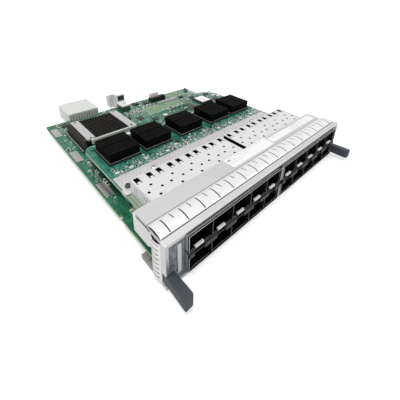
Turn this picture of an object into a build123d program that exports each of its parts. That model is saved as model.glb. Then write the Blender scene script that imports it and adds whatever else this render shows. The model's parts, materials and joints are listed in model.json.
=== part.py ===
from build123d import *
import os
import random

# Port interface module for a network chassis.
# X runs along the faceplate, Y from the front of the faceplate to the back, Z up.
# The origin is at the middle of the faceplate's front, on the surface it stands on.

# Faceplate
plate_left_margin = 11.9
plate_right_margin = 7.15
plate_depth = 3.4
rim_width = 1.8
recess_depth = 1.8
rim_round = 0.5
corner_round = 0.8
panel_thickness = 0.8
panel_clearance = 0.1
indicator_width = 2.0
indicator_height = 17.5
indicator_edge = 2.4
indicator_thickness = 0.4

# Port cages, one gang of five above and one below the port board, twice
ports_per_gang = 5
port_pitch = 14.25
gang_gap = 3.45
cage_height = 9.8
cage_front = -0.6
cage_length = 48.8
cage_sheet = 0.3
cage_round = 0.6
port_width = 13.75
window_clearance = 0.6
port_contact_length = 12.0
port_contact_width = 11.6
port_contact_height = 7.4
card_slot_width = 9.8
card_slot_height = 1.6
card_slot_depth = 7.0
card_slot_level = 4.2

# Holes and kick-out windows in the cage tops, measured from the left of a port and from the cage back
kick_offsets = (2.5, 10.4)
kick_width = 3.1
kick_length = 3.8
kick_leg = 0.6
kick_leg_length = 1.7
kick_margin = 1.0
vent_diameter = 1.7
vent_offset = 6.4
vent_spread = 4.1
vent_step = 4.6
vent_margin = 10.6
side_slit_margins = (3.9, 6.2, 13.6, 15.7)
side_slit_width = 0.5
side_slit_low = 4.7
side_slit_high = 6.9
rear_clearance = 0.3
back_window_width = 3.2
back_window_offsets = (2.65, 8.45)
back_window_low = 3.2
back_window_high = 2.4

# Bezels in front of the cages
bezel_thickness = 0.6
bezel_flange = 0.4
bezel_post = 0.5
bezel_line = 0.4
tab_thickness = 0.7
tab_height = 2.4
tab_drop = 0.7
tab_before = 5.5
tab_after = 2.6
carrier_depth = 4.2
light_guide_offset = 3.1
light_guide_width = 5.2
light_guide_height = 2.1
light_guide_reach = 1.9
light_guide_round = 0.25

# Boards
main_board_inset = 3.0
main_board_front = 16.0
main_board_back = 181.0
main_board_bottom = 3.4
board_thickness = 1.6
board_round = 1.5
notch_back = 49.0
edge_step = 1.2
edge_step_front = 44.5
edge_step_length = 3.0
tongue_width = 6.1
tongue_width_right = 3.1
port_board_bottom = 12.8
port_board_thickness = 2.0
port_board_left = -73.4
port_board_right = 78.2
port_board_front = 4.0
port_board_back = 110.0
port_board_tail_left = 41.0
port_board_tail_back = 140.0
port_board_chamfer = 11.5
port_board_corner = 6.0
pad_width = 5.3
pad_length = 15.6
pad_thickness = 0.3
pad_edge = 0.9
pad_rows = (164.0, 119.0, 72.3)

# Sheet metal round the faceplate
sheet = 1.0
lip_height = 0.8
plate_inset = 1.1
bottom_plate_inset = 0.6
top_plate_back = 25.4
bottom_plate_back = 22.0
bracket_sheet = 0.8
bracket_front = 11.2
bracket_back = 26.0
bracket_bottom = 16.4
bracket_depth = 7.0
bracket_round = 2.0
bracket_drop = 0.6
spring_sheet = 0.25
spring_pitch = 10.16
spring_slot = 0.6
spring_slit = 0.5
spring_front = plate_depth + 0.2
spring_back = 14.4
spring_bulge = 1.7
spring_slot_front = 1.0
spring_slot_back = 2.2
spring_slit_length = 3.6
spring_slit_back = 1.8
side_slot_margin = 1.2
spring_groove = 0.5
spring_groove_depth = 0.5
spring_end_gap = 0.3
side_spring_pitch = 2.83
side_spring_back = 10.8
side_spring_bulge = 1.0

# Levers
lever_reach = 13.2
lever_width = 4.4
lever_height = 6.2
lever_bottom = 3.0
lever_flare = 0.7
lever_tip_round = 1.9
lever_edge_round = 0.5
lever_inset = 2.6
lever_pivot = 1.5
lever_clearance = 0.3
pin_diameter = 1.6
pin_fit = 0.02
lever_fit = 0.05
lug_height = 1.8
lug_inset = 0.3
pin_low = 0.5

# Chips and heatsinks on the port board
chip_size = 22.8
chip_height = 1.3
chip_chamfer = 0.2
chip_row = 90.0
chip_places = (-56.8, -30.0, 1.6, 33.2, 60.6)
sink_size = 21.8
sink_height = 7.2
sink_base = 1.4
sink_fins = 5
sink_fin = 1.0
sink_groove = 2.2

# Switch chip and its heatsink on the main board
switch_inset = 32.6
switch_middle_y = 139.0
switch_size = 31.0
switch_height = 1.6
frame_margin = 1.7
frame_end_margin = 1.1
frame_fit = 0.5
big_sink_width = 44.0
big_sink_length = 36.4
big_sink_base = 1.4
big_sink_top = 14.0
pin_rows = 14
pin_columns = 6
pin_gap = 1.1
pin_depth = 3.0
rail_width = 6.4
rail_height = 1.4
rail_left_offset = -15.6
rail_hole = 2.0
rail_fit = 0.05
rail_hole_front = 1.9
rail_hole_back = 2.2
front_bar_depth = 1.8
front_bar_height = 2.0
front_bar_over = 2.8

# Rear connectors
socket_inset = 19.0
socket_width = 27.3
socket_front = 177.0
socket_length = 28.4
socket_top = 12.5
socket_wall = 1.2
wafer_count = 10
wafer_gap = 0.45
wafer_length = 6.5
wafer_proud = 0.4
contact_columns = 9
contact_rows = 4
contact_size = 1.3
contact_depth = 3.0
board_clearance = 0.3
guide_bore = 7.2
guide_inset = 71.1
guide_bore_z = 15.4
guide_wall = 0.9
guide_front = 178.0
guide_tower_length = 7.0
guide_body_before = 7.4
guide_body_after = 5.2
guide_body_front = 183.4
guide_body_back = 196.0
guide_body_top = 14.2
guide_foot_length = 11.7
guide_foot_width = 8.2
guide_foot_top = 11.6

# Small parts
header_place = (31.0, 171.5)
header_size = (18.0, 6.0, 4.2)
header_pins = 5
header_pin = 0.7
header_pin_rise = 4.6
pin_room = 0.1
bar_place = (37.0, 161.4)
bar_size = (25.0, 2.6, 1.6)
memory_place = (51.8, 121.0)
memory_size = (14.0, 16.0, 2.2)
standoff_places = ((-69.0, 54.8), (-48.0, 59.4), (53.2, 59.4), (73.0, 56.0), (-68.5, 104.5), (73.5, 120.0))
standoff_diameter = 4.6
screw_head = 4.4
screw_head_height = 1.5
screw_round = 1.1
strip_thickness = 0.3
strip_back = 66.2
strip_inset = 0.6
strip_fold_front = 48.6
strip_fold_length = 5.0
stack_size = (40.0, 7.0)
stack_row = 71.0
stack_wall = 2.0
stack_tongue = 1.5
stack_overlap = 2.0
stack_fit = 0.1
stack_shift = 34.0
stack_middle = -4.0
spacer_diameter = 4.0
spacer_narrow = 2.8

part_margin = 0.4
part_sizes = ((2.0, 1.2, 1.0), (1.6, 0.9, 0.8), (3.2, 1.6, 1.4), (1.2, 1.2, 0.8))
part_count = 60
parts_front_margin = 1.9
parts_side_margin = 3.4
keep_clear = 1.0

# Heights and places worked out from the sizes above
gang_width = ports_per_gang * port_pitch
plate_width = plate_left_margin + 2 * gang_width + gang_gap + plate_right_margin
plate_half = plate_width / 2
gang_lefts = (plate_left_margin - plate_half, plate_half - plate_right_margin - gang_width)
main_board_width = plate_width - 2 * main_board_inset
board_half = main_board_width / 2
switch_middle_x = switch_inset - board_half
socket_left = socket_inset - board_half
guide_bore_x = guide_inset - board_half
frame_width = big_sink_width + 2 * frame_margin
frame_length = big_sink_length + 2 * frame_end_margin
port_board_top = port_board_bottom + port_board_thickness
main_board_top = main_board_bottom + board_thickness
port_side = (port_pitch - port_width) / 2
cage_back = cage_front + cage_length
cage_top = port_board_top + cage_height
cage_bottom = port_board_bottom - cage_height
bezel_front = cage_front - bezel_thickness
plate_height = cage_top + lip_height + 2 * sheet
top_plate_top = plate_height - sheet
top_plate_bottom = top_plate_top - sheet
bracket_wall = plate_half - 0.6
lever_top = lever_bottom + lever_height
pivot_x = plate_half - lever_inset
notch_bottom = lever_bottom - lever_clearance
notch_top = lever_top + lever_clearance
notch_inner = pivot_x - lever_width / 2 - lever_clearance - 0.2
port_board_half = (port_board_bottom + port_board_top) / 2
switch_top = main_board_top + switch_height
sink_front = switch_middle_y - big_sink_length / 2
sink_back = switch_middle_y + big_sink_length / 2
sink_left = switch_middle_x - big_sink_width / 2
sink_right = switch_middle_x + big_sink_width / 2

os.makedirs("parts", exist_ok=True)
written = []


def save(name, shape):
    """Write one piece, or one group of like pieces, as its own file."""
    shape.label = name
    export_step(shape, "parts/" + name + ".step")
    written.append(name)


def block(x0, x1, y0, y1, z0, z1):
    """A box given by its two opposite corners."""
    size = Box(x1 - x0, y1 - y0, z1 - z0)
    return Pos((x0 + x1) / 2, (y0 + y1) / 2, (z0 + z1) / 2) * size


def post(x, y, z0, z1, diameter):
    """An upright cylinder."""
    return Pos(x, y, (z0 + z1) / 2) * Cylinder(diameter / 2, z1 - z0)


def group(solids):
    return Compound(children=[s if isinstance(s, Solid) else s.solids()[0] for s in solids])


def prism(points, z0, z1):
    """A flat outline raised from z0 to z1."""
    outline = make_face(Polyline(*points, close=True))
    return Pos(0, 0, z0) * extrude(outline, amount=z1 - z0, dir=(0, 0, 1))


# Faceplate: one machined frame with a recess, a window for each pair of gangs and a
# notch with a lug at each end for the lever

def make_faceplate():
    plate = block(-plate_half, plate_half, 0, plate_depth, 0, plate_height)
    plate = fillet(plate.edges().filter_by(Axis.Y), corner_round)
    plate = fillet(plate.edges().group_by(Axis.Y)[0], rim_round)
    inner = plate_half - rim_width
    plate -= block(-inner, inner, -1, recess_depth, rim_width, plate_height - rim_width)
    for left in gang_lefts:
        plate -= block(left - window_clearance, left + gang_width + window_clearance, -1, plate_depth + 1,
                       cage_bottom - window_clearance, cage_top + window_clearance)
    lug_top = notch_top + lug_height
    for side in (-1, 1):
        lug_x = sorted((side * (plate_half - lug_inset), side * notch_inner))
        plate += block(lug_x[0], lug_x[1], lug_inset, plate_depth, notch_top, lug_top)
        cut_x = sorted((side * (plate_half + 1), side * notch_inner))
        plate -= block(cut_x[0], cut_x[1], -1, plate_depth + 1, notch_bottom, notch_top)
        hole = pin_diameter + 2 * pin_fit
        plate -= post(side * pivot_x, lever_pivot, pin_low, lug_top + 1, hole)
    return plate


def make_status_panel():
    left = -plate_half + rim_width + panel_clearance
    right = gang_lefts[0] - window_clearance - panel_clearance
    front = recess_depth - panel_thickness
    high = plate_height - rim_width - panel_clearance
    panel = block(left, right, front, recess_depth, notch_top + lug_height + panel_clearance, high)
    beside_lever = panel_clearance - notch_inner
    return panel + block(beside_lever, right, front, recess_depth, rim_width + panel_clearance, high)


def make_indicator_strip():
    right = gang_lefts[0] - window_clearance - indicator_edge
    back = recess_depth - panel_thickness
    low = (plate_height - indicator_height) / 2
    high = low + indicator_height
    return block(right - indicator_width, right, back - indicator_thickness, back, low, high)


def make_end_strip():
    left = gang_lefts[1] + gang_width + window_clearance + panel_clearance
    right = plate_half - rim_width - panel_clearance
    return block(left, right, recess_depth - panel_thickness, recess_depth,
                 notch_top + lug_height + panel_clearance, plate_height - rim_width - panel_clearance)


# Cages: a folded shell over five ports, with kick-out windows and round holes

def make_cage(left, upper):
    low = port_board_top if upper else cage_bottom
    high = low + cage_height
    cage = block(left, left + gang_width, cage_front, cage_back, low, high)
    cage = fillet(cage.edges().filter_by(Axis.Y).group_by(Axis.Z)[-1 if upper else 0], cage_round)
    board_side = low if upper else high
    board_cut = 2 * cage_sheet
    cuts = []
    for k in range(ports_per_gang):
        x0 = left + k * port_pitch
        x1 = x0 + port_pitch
        cuts.append(block(x0 + port_side, x1 - port_side, cage_front - 1, cage_back - cage_sheet,
                          low + cage_sheet, high - cage_sheet))
        half = port_contact_width / 2 + board_cut
        middle = (x0 + x1) / 2
        cuts.append(block(middle - half, middle + half, cage_back - port_contact_length - 2,
                          cage_back - cage_sheet, board_side - board_cut, board_side + board_cut))
        for offset in back_window_offsets:
            cuts.append(block(x0 + offset, x0 + offset + back_window_width, cage_back - 1, cage_back + 1,
                              low + back_window_low, high - back_window_high))
        if upper:
            cuts += top_windows(x0, high)
    if upper:
        for margin in side_slit_margins:
            y = cage_back - margin
            cuts.append(block(left - 1, left + cage_sheet + port_side, y - side_slit_width, y,
                              low + side_slit_low, low + side_slit_high))
    return cage - cuts


def top_windows(x0, z):
    """The two kick-out windows and the four round holes over one port."""
    cuts = []
    back = cage_back - kick_margin
    front = back - kick_length
    for offset in kick_offsets:
        left = x0 + offset - kick_width / 2
        right = left + kick_width
        cuts.append(block(left, right, front, back, z - 1, z + 1))
        cuts.append(block(left, left + kick_leg, front - kick_leg_length, back, z - 1, z + 1))
        cuts.append(block(right - kick_leg, right, front - kick_leg_length, back, z - 1, z + 1))
    x = x0 + vent_offset
    y = cage_back - vent_margin
    for dx, dy in ((0, 0), (vent_spread, vent_step), (-vent_spread, vent_step), (0, 2 * vent_step)):
        cuts.append(post(x + dx, y - dy, z - 1, z + 1, vent_diameter))
    return cuts


def make_port_contacts(upper):
    solids = []
    back = cage_back - 2 * cage_sheet - rear_clearance
    front = back - port_contact_length
    low = port_board_top if upper else port_board_bottom - port_contact_height
    slot = low + card_slot_level if upper else low + port_contact_height - card_slot_level
    for left in gang_lefts:
        for k in range(ports_per_gang):
            x = left + (k + 0.5) * port_pitch
            body = block(x - port_contact_width / 2, x + port_contact_width / 2, front, back, low,
                         low + port_contact_height)
            half = card_slot_width / 2
            body -= block(x - half, x + half, front - 1, front + card_slot_depth,
                          slot - card_slot_height / 2, slot + card_slot_height / 2)
            solids.append(body)
    return group(solids)


def make_bezel(left):
    """The thin frame in front of an upper and a lower gang, open between the two."""
    right = left + gang_width
    frame = block(left - bezel_flange, right + bezel_flange, bezel_front, cage_front,
                  cage_bottom - bezel_flange, cage_top + bezel_flange)
    upper_low = port_board_top + cage_sheet
    lower_high = port_board_bottom - cage_sheet
    spans = ((upper_low, cage_top - cage_sheet), (cage_bottom + cage_sheet, lower_high),
             (lower_high + bezel_line, upper_low - bezel_line))
    cuts = []
    for k in range(ports_per_gang):
        x0 = left + k * port_pitch + bezel_post / 2
        x1 = x0 + port_pitch - bezel_post
        for low, high in spans:
            cuts.append(block(x0, x1, bezel_front - 1, cage_front + 1, low, high))
    return frame - cuts


def make_port_tabs():
    """Small plates over the joint between the rows, one at each post of the bezels."""
    solids = []
    high = port_board_half + tab_height / 2 - tab_drop
    for left in gang_lefts:
        for k in range(ports_per_gang + 1):
            post_x = left + k * port_pitch
            x0 = max(post_x - tab_before, left - bezel_flange)
            x1 = min(post_x + tab_after, left + gang_width + bezel_flange)
            solids.append(block(x0, x1, bezel_front - tab_thickness, bezel_front, high - tab_height, high))
    return group(solids)


def make_port_septa():
    """The dark bars that fill the joint between the rows, in front of the port board."""
    back = cage_front + carrier_depth
    low, high = port_board_bottom + panel_clearance, port_board_top - panel_clearance
    return group([block(left + bezel_line, left + gang_width - bezel_line, cage_front, back, low, high)
                  for left in gang_lefts])


def make_light_guides():
    solids = []
    low = port_board_top + cage_sheet
    for left in gang_lefts:
        for k in range(ports_per_gang):
            x = left + k * port_pitch + light_guide_offset
            guide = block(x, x + light_guide_width, -light_guide_reach, cage_front,
                          low, low + light_guide_height)
            solids.append(fillet(guide.edges().filter_by(Axis.Y), light_guide_round))
    return group(solids)


# Boards

def make_main_board():
    low, high = main_board_bottom - 1, main_board_top + 1
    board = block(-board_half, board_half, main_board_front, main_board_back,
                  main_board_bottom, main_board_top)
    board = fillet(board.edges().filter_by(Axis.Z).group_by(Axis.Y)[-1], board_round)
    board -= block(-board_half + tongue_width, board_half - tongue_width_right,
                   main_board_front - 1, notch_back, low, high)
    board -= block(-board_half - 1, -board_half + edge_step,
                   edge_step_front, edge_step_front + edge_step_length, low, high)
    return board


def make_port_board():
    points = ((port_board_left, port_board_front), (port_board_right, port_board_front),
              (port_board_right, port_board_tail_back - port_board_chamfer),
              (port_board_right - port_board_chamfer, port_board_tail_back),
              (port_board_tail_left, port_board_tail_back), (port_board_tail_left, port_board_back),
              (port_board_left, port_board_back))
    board = prism(points, port_board_bottom, port_board_top)
    corner = board.edges().filter_by(Axis.Z).sort_by(lambda e: e.center().X - e.center().Y)[0]
    return fillet(corner, port_board_corner)


def make_guide_pads():
    places = [(-board_half + pad_edge, y) for y in pad_rows]
    places.append((board_half - pad_edge - pad_width, pad_rows[0]))
    return group([block(x, x + pad_width, y - pad_length / 2, y + pad_length / 2, main_board_top,
                        main_board_top + pad_thickness) for x, y in places])


# Sheet metal

def make_top_plate():
    half = plate_half - plate_inset
    plate = block(-half, half, plate_depth, top_plate_back, top_plate_bottom, top_plate_top)
    plate = fillet(plate.edges().filter_by(Axis.Z).group_by(Axis.Y)[-1], board_round)
    plate -= block(-half - 1, half + 1, spring_back, spring_back + spring_groove,
                   top_plate_top - spring_groove_depth, top_plate_top + 1)
    lip = block(gang_lefts[0], gang_lefts[1] + gang_width, top_plate_back - bracket_sheet, top_plate_back,
                cage_top + panel_clearance, top_plate_bottom)
    return plate + lip


def make_bottom_plate():
    half = plate_half - bottom_plate_inset
    plate = block(-half, half, plate_depth, bottom_plate_back, 0, sheet)
    return fillet(plate.edges().filter_by(Axis.Z).group_by(Axis.Y)[-1], board_round)


def make_side_bracket(side):
    wall = block(bracket_wall - bracket_sheet, bracket_wall, plate_depth, bracket_front + bracket_sheet,
                 sheet, top_plate_bottom)
    wall -= block(bracket_wall - 2, bracket_wall + 1, bracket_front - bracket_sheet / 2, bracket_front + 2,
                  sheet - 1, bracket_bottom)
    high = top_plate_bottom - bracket_drop
    inner = plate_half - bracket_depth
    pocket = block(inner, plate_half, bracket_front, bracket_back, bracket_bottom, high)
    pocket = fillet(pocket.edges().filter_by(Axis.Z).group_by(Axis.X)[-1], bracket_round)
    hollow = block(inner - 1, plate_half - bracket_sheet, bracket_front + bracket_sheet,
                   bracket_back - bracket_sheet, bracket_bottom - 1, high - bracket_sheet)
    hollow = fillet(hollow.edges().filter_by(Axis.Z).group_by(Axis.X)[-1], bracket_round - bracket_sheet)
    bracket = wall + (pocket - hollow)
    return bracket if side > 0 else mirror(bracket, about=Plane.YZ)


def bulged_sheet(place, start, end, rise, run, length):
    """A thin sheet bowed outwards between start and end, carried on along run.

    place turns a distance from the faceplate and a height over the seat into a point.
    """
    middle = (start + end) / 2
    peak = place(middle, spring_sheet + rise)
    top = ThreePointArc(place(start, spring_sheet), peak, place(end, spring_sheet))
    low = ThreePointArc(place(end, 0), place(middle, rise), place(start, 0))
    edges = [top, Line(place(end, spring_sheet), place(end, 0)), low,
             Line(place(start, 0), place(start, spring_sheet))]
    return extrude(make_face(edges), amount=length, dir=run)


def make_top_springs():
    half = plate_half - plate_inset
    strip = bulged_sheet(lambda y, up: (-half, y, top_plate_top + up), spring_front, spring_back,
                         spring_bulge, (1, 0, 0), 2 * half)
    count = int(2 * half / spring_pitch) - 1
    first = -count * spring_pitch / 2
    low, high = top_plate_top - 1, top_plate_top + 2 * spring_bulge
    slots = []
    for k in range(count + 1):
        x = first + k * spring_pitch
        slots.append(block(x - spring_slot / 2, x + spring_slot / 2, spring_front + spring_slot_front,
                           spring_back - spring_slot_back, low, high))
        x += spring_pitch / 2
        back = spring_back - spring_slit_back
        if k < count:
            front = back - spring_slit_length
            slots.append(block(x - spring_slit / 2, x + spring_slit / 2, front, back, low, high))
    return strip - slots


def make_side_springs(side):
    low = sheet + spring_end_gap
    height = top_plate_bottom - spring_end_gap - low
    strip = bulged_sheet(lambda y, out: (bracket_wall + out, y, low), spring_front, side_spring_back,
                         side_spring_bulge, (0, 0, 1), height)
    slots = []
    for k in range(1, int(height / side_spring_pitch) + 1):
        z = low + k * side_spring_pitch
        slots.append(block(bracket_wall - 2, bracket_wall + 2 * side_spring_bulge, spring_front + side_slot_margin,
                           side_spring_back - side_slot_margin, z - spring_slot / 2, z + spring_slot / 2))
    strip -= slots
    return strip if side > 0 else mirror(strip, about=Plane.YZ)


# Levers and their pins

def make_lever(side):
    """An arm with a round end at the pin, a little wider and rounded on the inside at its tip."""
    half = lever_width / 2
    tip = -lever_reach - lever_pivot
    arm = Polyline((-half, 0), (-half, tip), (half + lever_flare, tip), (half, 0), close=True)
    outline = make_face(arm) + Circle(half)
    lever = Pos(0, 0, lever_bottom) * extrude(outline, amount=lever_height, dir=(0, 0, 1))
    corners = lever.edges().filter_by(Axis.Z).group_by(Axis.Y)[0].sort_by(Axis.X)
    lever = fillet(corners[0], lever_tip_round)
    corners = lever.edges().filter_by(Axis.Z).group_by(Axis.Y)[0].sort_by(Axis.X)
    lever = fillet(corners[-1], lever_edge_round)
    lever = fillet(lever.edges().group_by(Axis.Z)[-1], lever_edge_round)
    lever = fillet(lever.edges().group_by(Axis.Z)[0], lever_edge_round)
    lever -= post(0, 0, lever_bottom - 1, lever_top + 1, pin_diameter + 2 * lever_fit)
    lever = Pos(pivot_x, lever_pivot, 0) * lever
    return lever if side > 0 else mirror(lever, about=Plane.YZ)


def make_lever_pin(side):
    pin = post(pivot_x, lever_pivot, pin_low, notch_top + lug_height - panel_clearance, pin_diameter)
    return pin if side > 0 else mirror(pin, about=Plane.YZ)


# Chips and heatsinks of the port board

def make_chip(x):
    half = chip_size / 2
    chip = block(x - half, x + half, chip_row - half, chip_row + half,
                 port_board_top, port_board_top + chip_height)
    return chamfer(chip.edges().group_by(Axis.Z)[-1], chip_chamfer)


def make_heatsink(x):
    half = sink_size / 2
    base = port_board_top + chip_height
    sink = block(x - half, x + half, chip_row - half, chip_row + half, base, base + sink_height)
    span = half - sink_groove / 2
    gap = (span - sink_fins * sink_fin) / (sink_fins - 1)
    cuts = [block(x - half - 1, x + half + 1, chip_row - sink_groove / 2, chip_row + sink_groove / 2,
                  base + sink_base, base + sink_height + 1)]
    for side in (-1, 1):
        for k in range(sink_fins - 1):
            near = chip_row + side * (sink_groove / 2 + sink_fin + k * (sink_fin + gap))
            far = near + side * gap
            cuts.append(block(x - half - 1, x + half + 1, min(near, far), max(near, far), base + sink_base,
                              base + sink_height + 1))
    return sink - cuts


# Switch chip, its frame, heatsink and rails

def make_switch_chip():
    half = switch_size / 2
    x, y = switch_middle_x, switch_middle_y
    return block(x - half, x + half, y - half, y + half, main_board_top, main_board_top + switch_height)


def make_heatsink_frame():
    x, y = switch_middle_x, switch_middle_y
    frame = block(x - frame_width / 2, x + frame_width / 2, y - frame_length / 2, y + frame_length / 2,
                  main_board_top, switch_top)
    half = switch_size / 2 + frame_fit
    return frame - block(x - half, x + half, y - half, y + half, main_board_top - 1, switch_top + 1)


def rail_spans():
    left = switch_middle_x + rail_left_offset - rail_width / 2
    right = sink_right - rail_width
    return ((left, left + rail_width), (right, right + rail_width))


def make_big_heatsink():
    sink = block(sink_left, sink_right, sink_front, sink_back, switch_top, big_sink_top)
    floor = switch_top + big_sink_base
    high = big_sink_top + 1
    row = (big_sink_length + pin_gap) / pin_rows
    column = (big_sink_width + pin_gap) / pin_columns
    cuts = []
    for k in range(1, pin_rows):
        y = sink_front + k * row
        cuts.append(block(sink_left - 1, sink_right + 1, y - pin_gap, y, floor, high))
    for k in range(1, pin_columns):
        x = sink_left + k * column
        cuts.append(block(x - pin_gap, x, sink_front - 1, sink_back + 1, big_sink_top - pin_depth, high))
    for a, b in rail_spans():
        cuts.append(block(a - rail_fit, b + rail_fit, sink_front - 1, sink_back + 1,
                          big_sink_top - rail_height, high))
    return sink - cuts


def make_rail(span):
    rail = block(span[0], span[1], sink_front, sink_back, big_sink_top - rail_height, big_sink_top)
    middle = (span[0] + span[1]) / 2
    for y in (sink_front + rail_hole_front, sink_back - rail_hole_back):
        rail -= post(middle, y, big_sink_top - rail_height - 1, big_sink_top + 1, rail_hole)
    return rail


def make_front_bar():
    spans = rail_spans()
    return block(spans[0][0] + front_bar_over, spans[1][1], sink_front - front_bar_depth,
                 sink_front - rail_fit, big_sink_top - front_bar_height, big_sink_top - rail_fit)


# Rear connectors

def make_socket():
    x0, x1 = socket_left, socket_left + socket_width
    y0, y1 = socket_front, socket_front + socket_length
    body = block(x0, x1, y0, y1, main_board_top, socket_top)
    body += block(x0, x1, main_board_back + board_clearance, y1, 0, main_board_top)
    body -= block(x0 + socket_wall, x1 - socket_wall, y0 - 1, y0 + wafer_length, main_board_top - 1,
                  socket_top - socket_wall)
    pitch_x = (socket_width - 2 * socket_wall) / contact_columns
    pitch_z = (socket_top - 2 * socket_wall) / contact_rows
    half = contact_size / 2
    cuts = []
    for i in range(contact_columns):
        for j in range(contact_rows):
            x = x0 + socket_wall + (i + 0.5) * pitch_x
            z = socket_wall + (j + 0.5) * pitch_z
            cuts.append(block(x - half, x + half, y1 - contact_depth, y1 + 1, z - half, z + half))
    return body - cuts


def make_wafers():
    inner = socket_width - 2 * socket_wall
    width = (inner - (wafer_count + 1) * wafer_gap) / wafer_count
    solids = []
    for k in range(wafer_count):
        x = socket_left + socket_wall + wafer_gap + k * (width + wafer_gap)
        solids.append(block(x, x + width, socket_front - wafer_proud, socket_front + wafer_length,
                            main_board_top, socket_top - socket_wall - panel_clearance))
    return group(solids)


def make_guide_block():
    """A foot on the board, a hollow tower over it, and a grooved body behind the board's edge."""
    half = guide_bore / 2
    outer = half + guide_wall
    tower_back = guide_front + guide_tower_length
    body = block(guide_bore_x - outer, guide_bore_x + outer, guide_front, tower_back, main_board_top,
                 guide_bore_z + outer)
    foot = guide_foot_width / 2
    body += block(guide_bore_x - foot, guide_bore_x + foot, guide_front - guide_foot_length, guide_front, main_board_top,
                  guide_foot_top)
    left, right = guide_bore_x - guide_body_before, guide_bore_x + guide_body_after
    body += block(left, right, guide_body_front, guide_body_back, main_board_bottom, guide_body_top)
    body -= block(guide_bore_x - half, guide_bore_x + half, guide_front - 1, guide_body_back + 1,
                  guide_bore_z - half, guide_bore_z + half)
    return body


def make_header():
    x, y = header_place
    w, d, h = header_size
    body = block(x - w / 2, x + w / 2, y - d / 2, y + d / 2, main_board_top, main_board_top + h)
    return body - [post(px, y, main_board_top - 1, main_board_top + h + 1, header_pin + pin_room)
                   for px in header_columns()]


def header_columns():
    pitch = header_size[0] / header_pins
    return [header_place[0] + (k - (header_pins - 1) / 2) * pitch for k in range(header_pins)]


def make_header_pins():
    y = header_place[1]
    high = main_board_top + header_size[2] + header_pin_rise
    return group([post(x, y, main_board_top, high, header_pin) for x in header_columns()])


def make_bar():
    x, y = bar_place
    w, d, h = bar_size
    return block(x - w / 2, x + w / 2, y - d / 2, y + d / 2, main_board_top, main_board_top + h)


def make_memory():
    x, y = memory_place
    w, d, h = memory_size
    return block(x - w / 2, x + w / 2, y - d / 2, y + d / 2, port_board_top, port_board_top + h)


# Fixings between the boards and small parts on them



def make_standoffs():
    return group([post(x, y, main_board_top, port_board_bottom, standoff_diameter)
                  for x, y in standoff_places])


def make_screws():
    solids = []
    for x, y in standoff_places:
        on_strip = y < strip_back
        seat = port_board_top + (strip_thickness if on_strip else 0)
        head = post(x, y, seat, seat + screw_head_height, screw_head)
        solids.append(fillet(head.edges().group_by(Axis.Z)[-1], screw_round))
    return group(solids)


def make_ground_strip():
    """A flat strip behind the upper cages, folded down over the board's edge at its left end."""
    low, high = port_board_top, port_board_top + strip_thickness
    left = port_board_left + strip_inset
    strip = block(left, gang_lefts[1] + gang_width + strip_inset, cage_back + rail_fit, strip_back, low, high)
    outer = port_board_left - strip_thickness
    fold_back = strip_fold_front + strip_fold_length
    strip += block(outer, left, strip_fold_front, fold_back, low, high)
    strip += block(outer, port_board_left, strip_fold_front, fold_back, port_board_bottom, high)
    return strip


def make_stack(upper):
    w, d = stack_size
    solids = []
    split = (main_board_top + port_board_bottom) / 2
    inner_w = w / 2 - stack_wall
    for x in (stack_middle - stack_shift, stack_middle + stack_shift):
        if upper:
            part = block(x - w / 2, x + w / 2, stack_row - d / 2, stack_row + d / 2, split, port_board_bottom)
            part += block(x - inner_w, x + inner_w, stack_row - stack_tongue, stack_row + stack_tongue,
                          split - stack_overlap, split)
        else:
            part = block(x - w / 2, x + w / 2, stack_row - d / 2, stack_row + d / 2, main_board_top, split)
            room = stack_tongue + stack_fit
            part -= block(x - inner_w - stack_fit, x + inner_w + stack_fit, stack_row - room,
                          stack_row + room, split - stack_overlap - stack_fit, split + 1)
        solids.append(part)
    return group(solids)


def make_edge_spacers():
    y = bottom_plate_back - spacer_diameter / 2 - 1
    return group([post(-board_half + tongue_width / 2, y, sheet, main_board_bottom, spacer_diameter),
                  post(board_half - tongue_width_right / 2, y, sheet, main_board_bottom, spacer_narrow)])


def make_board_parts(seed, x_range, y_range, z, keep_out):
    """Loose rows of small ceramic parts, clear of each other and of what stands there."""
    rng = random.Random(seed)
    placed = list(keep_out)
    solids = []
    while len(solids) < part_count:
        w, d, h = rng.choice(part_sizes)
        if rng.random() < 0.5:
            w, d = d, w
        x = rng.uniform(*x_range)
        y = rng.uniform(*y_range)
        half_w, half_d = w / 2 + part_margin, d / 2 + part_margin
        box = (x - half_w, x + half_w, y - half_d, y + half_d)
        if any(box[0] < q[1] and q[0] < box[1] and box[2] < q[3] and q[2] < box[3] for q in placed):
            continue
        placed.append(box)
        solids.append(block(x - w / 2, x + w / 2, y - d / 2, y + d / 2, z, z + h))
    return group(solids)


def around(place, size):
    """The area of a part that stands at place, with room round it."""
    half_w = size[0] / 2 + keep_clear
    half_d = size[1] / 2 + keep_clear
    return (place[0] - half_w, place[0] + half_w, place[1] - half_d, place[1] + half_d)


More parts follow.
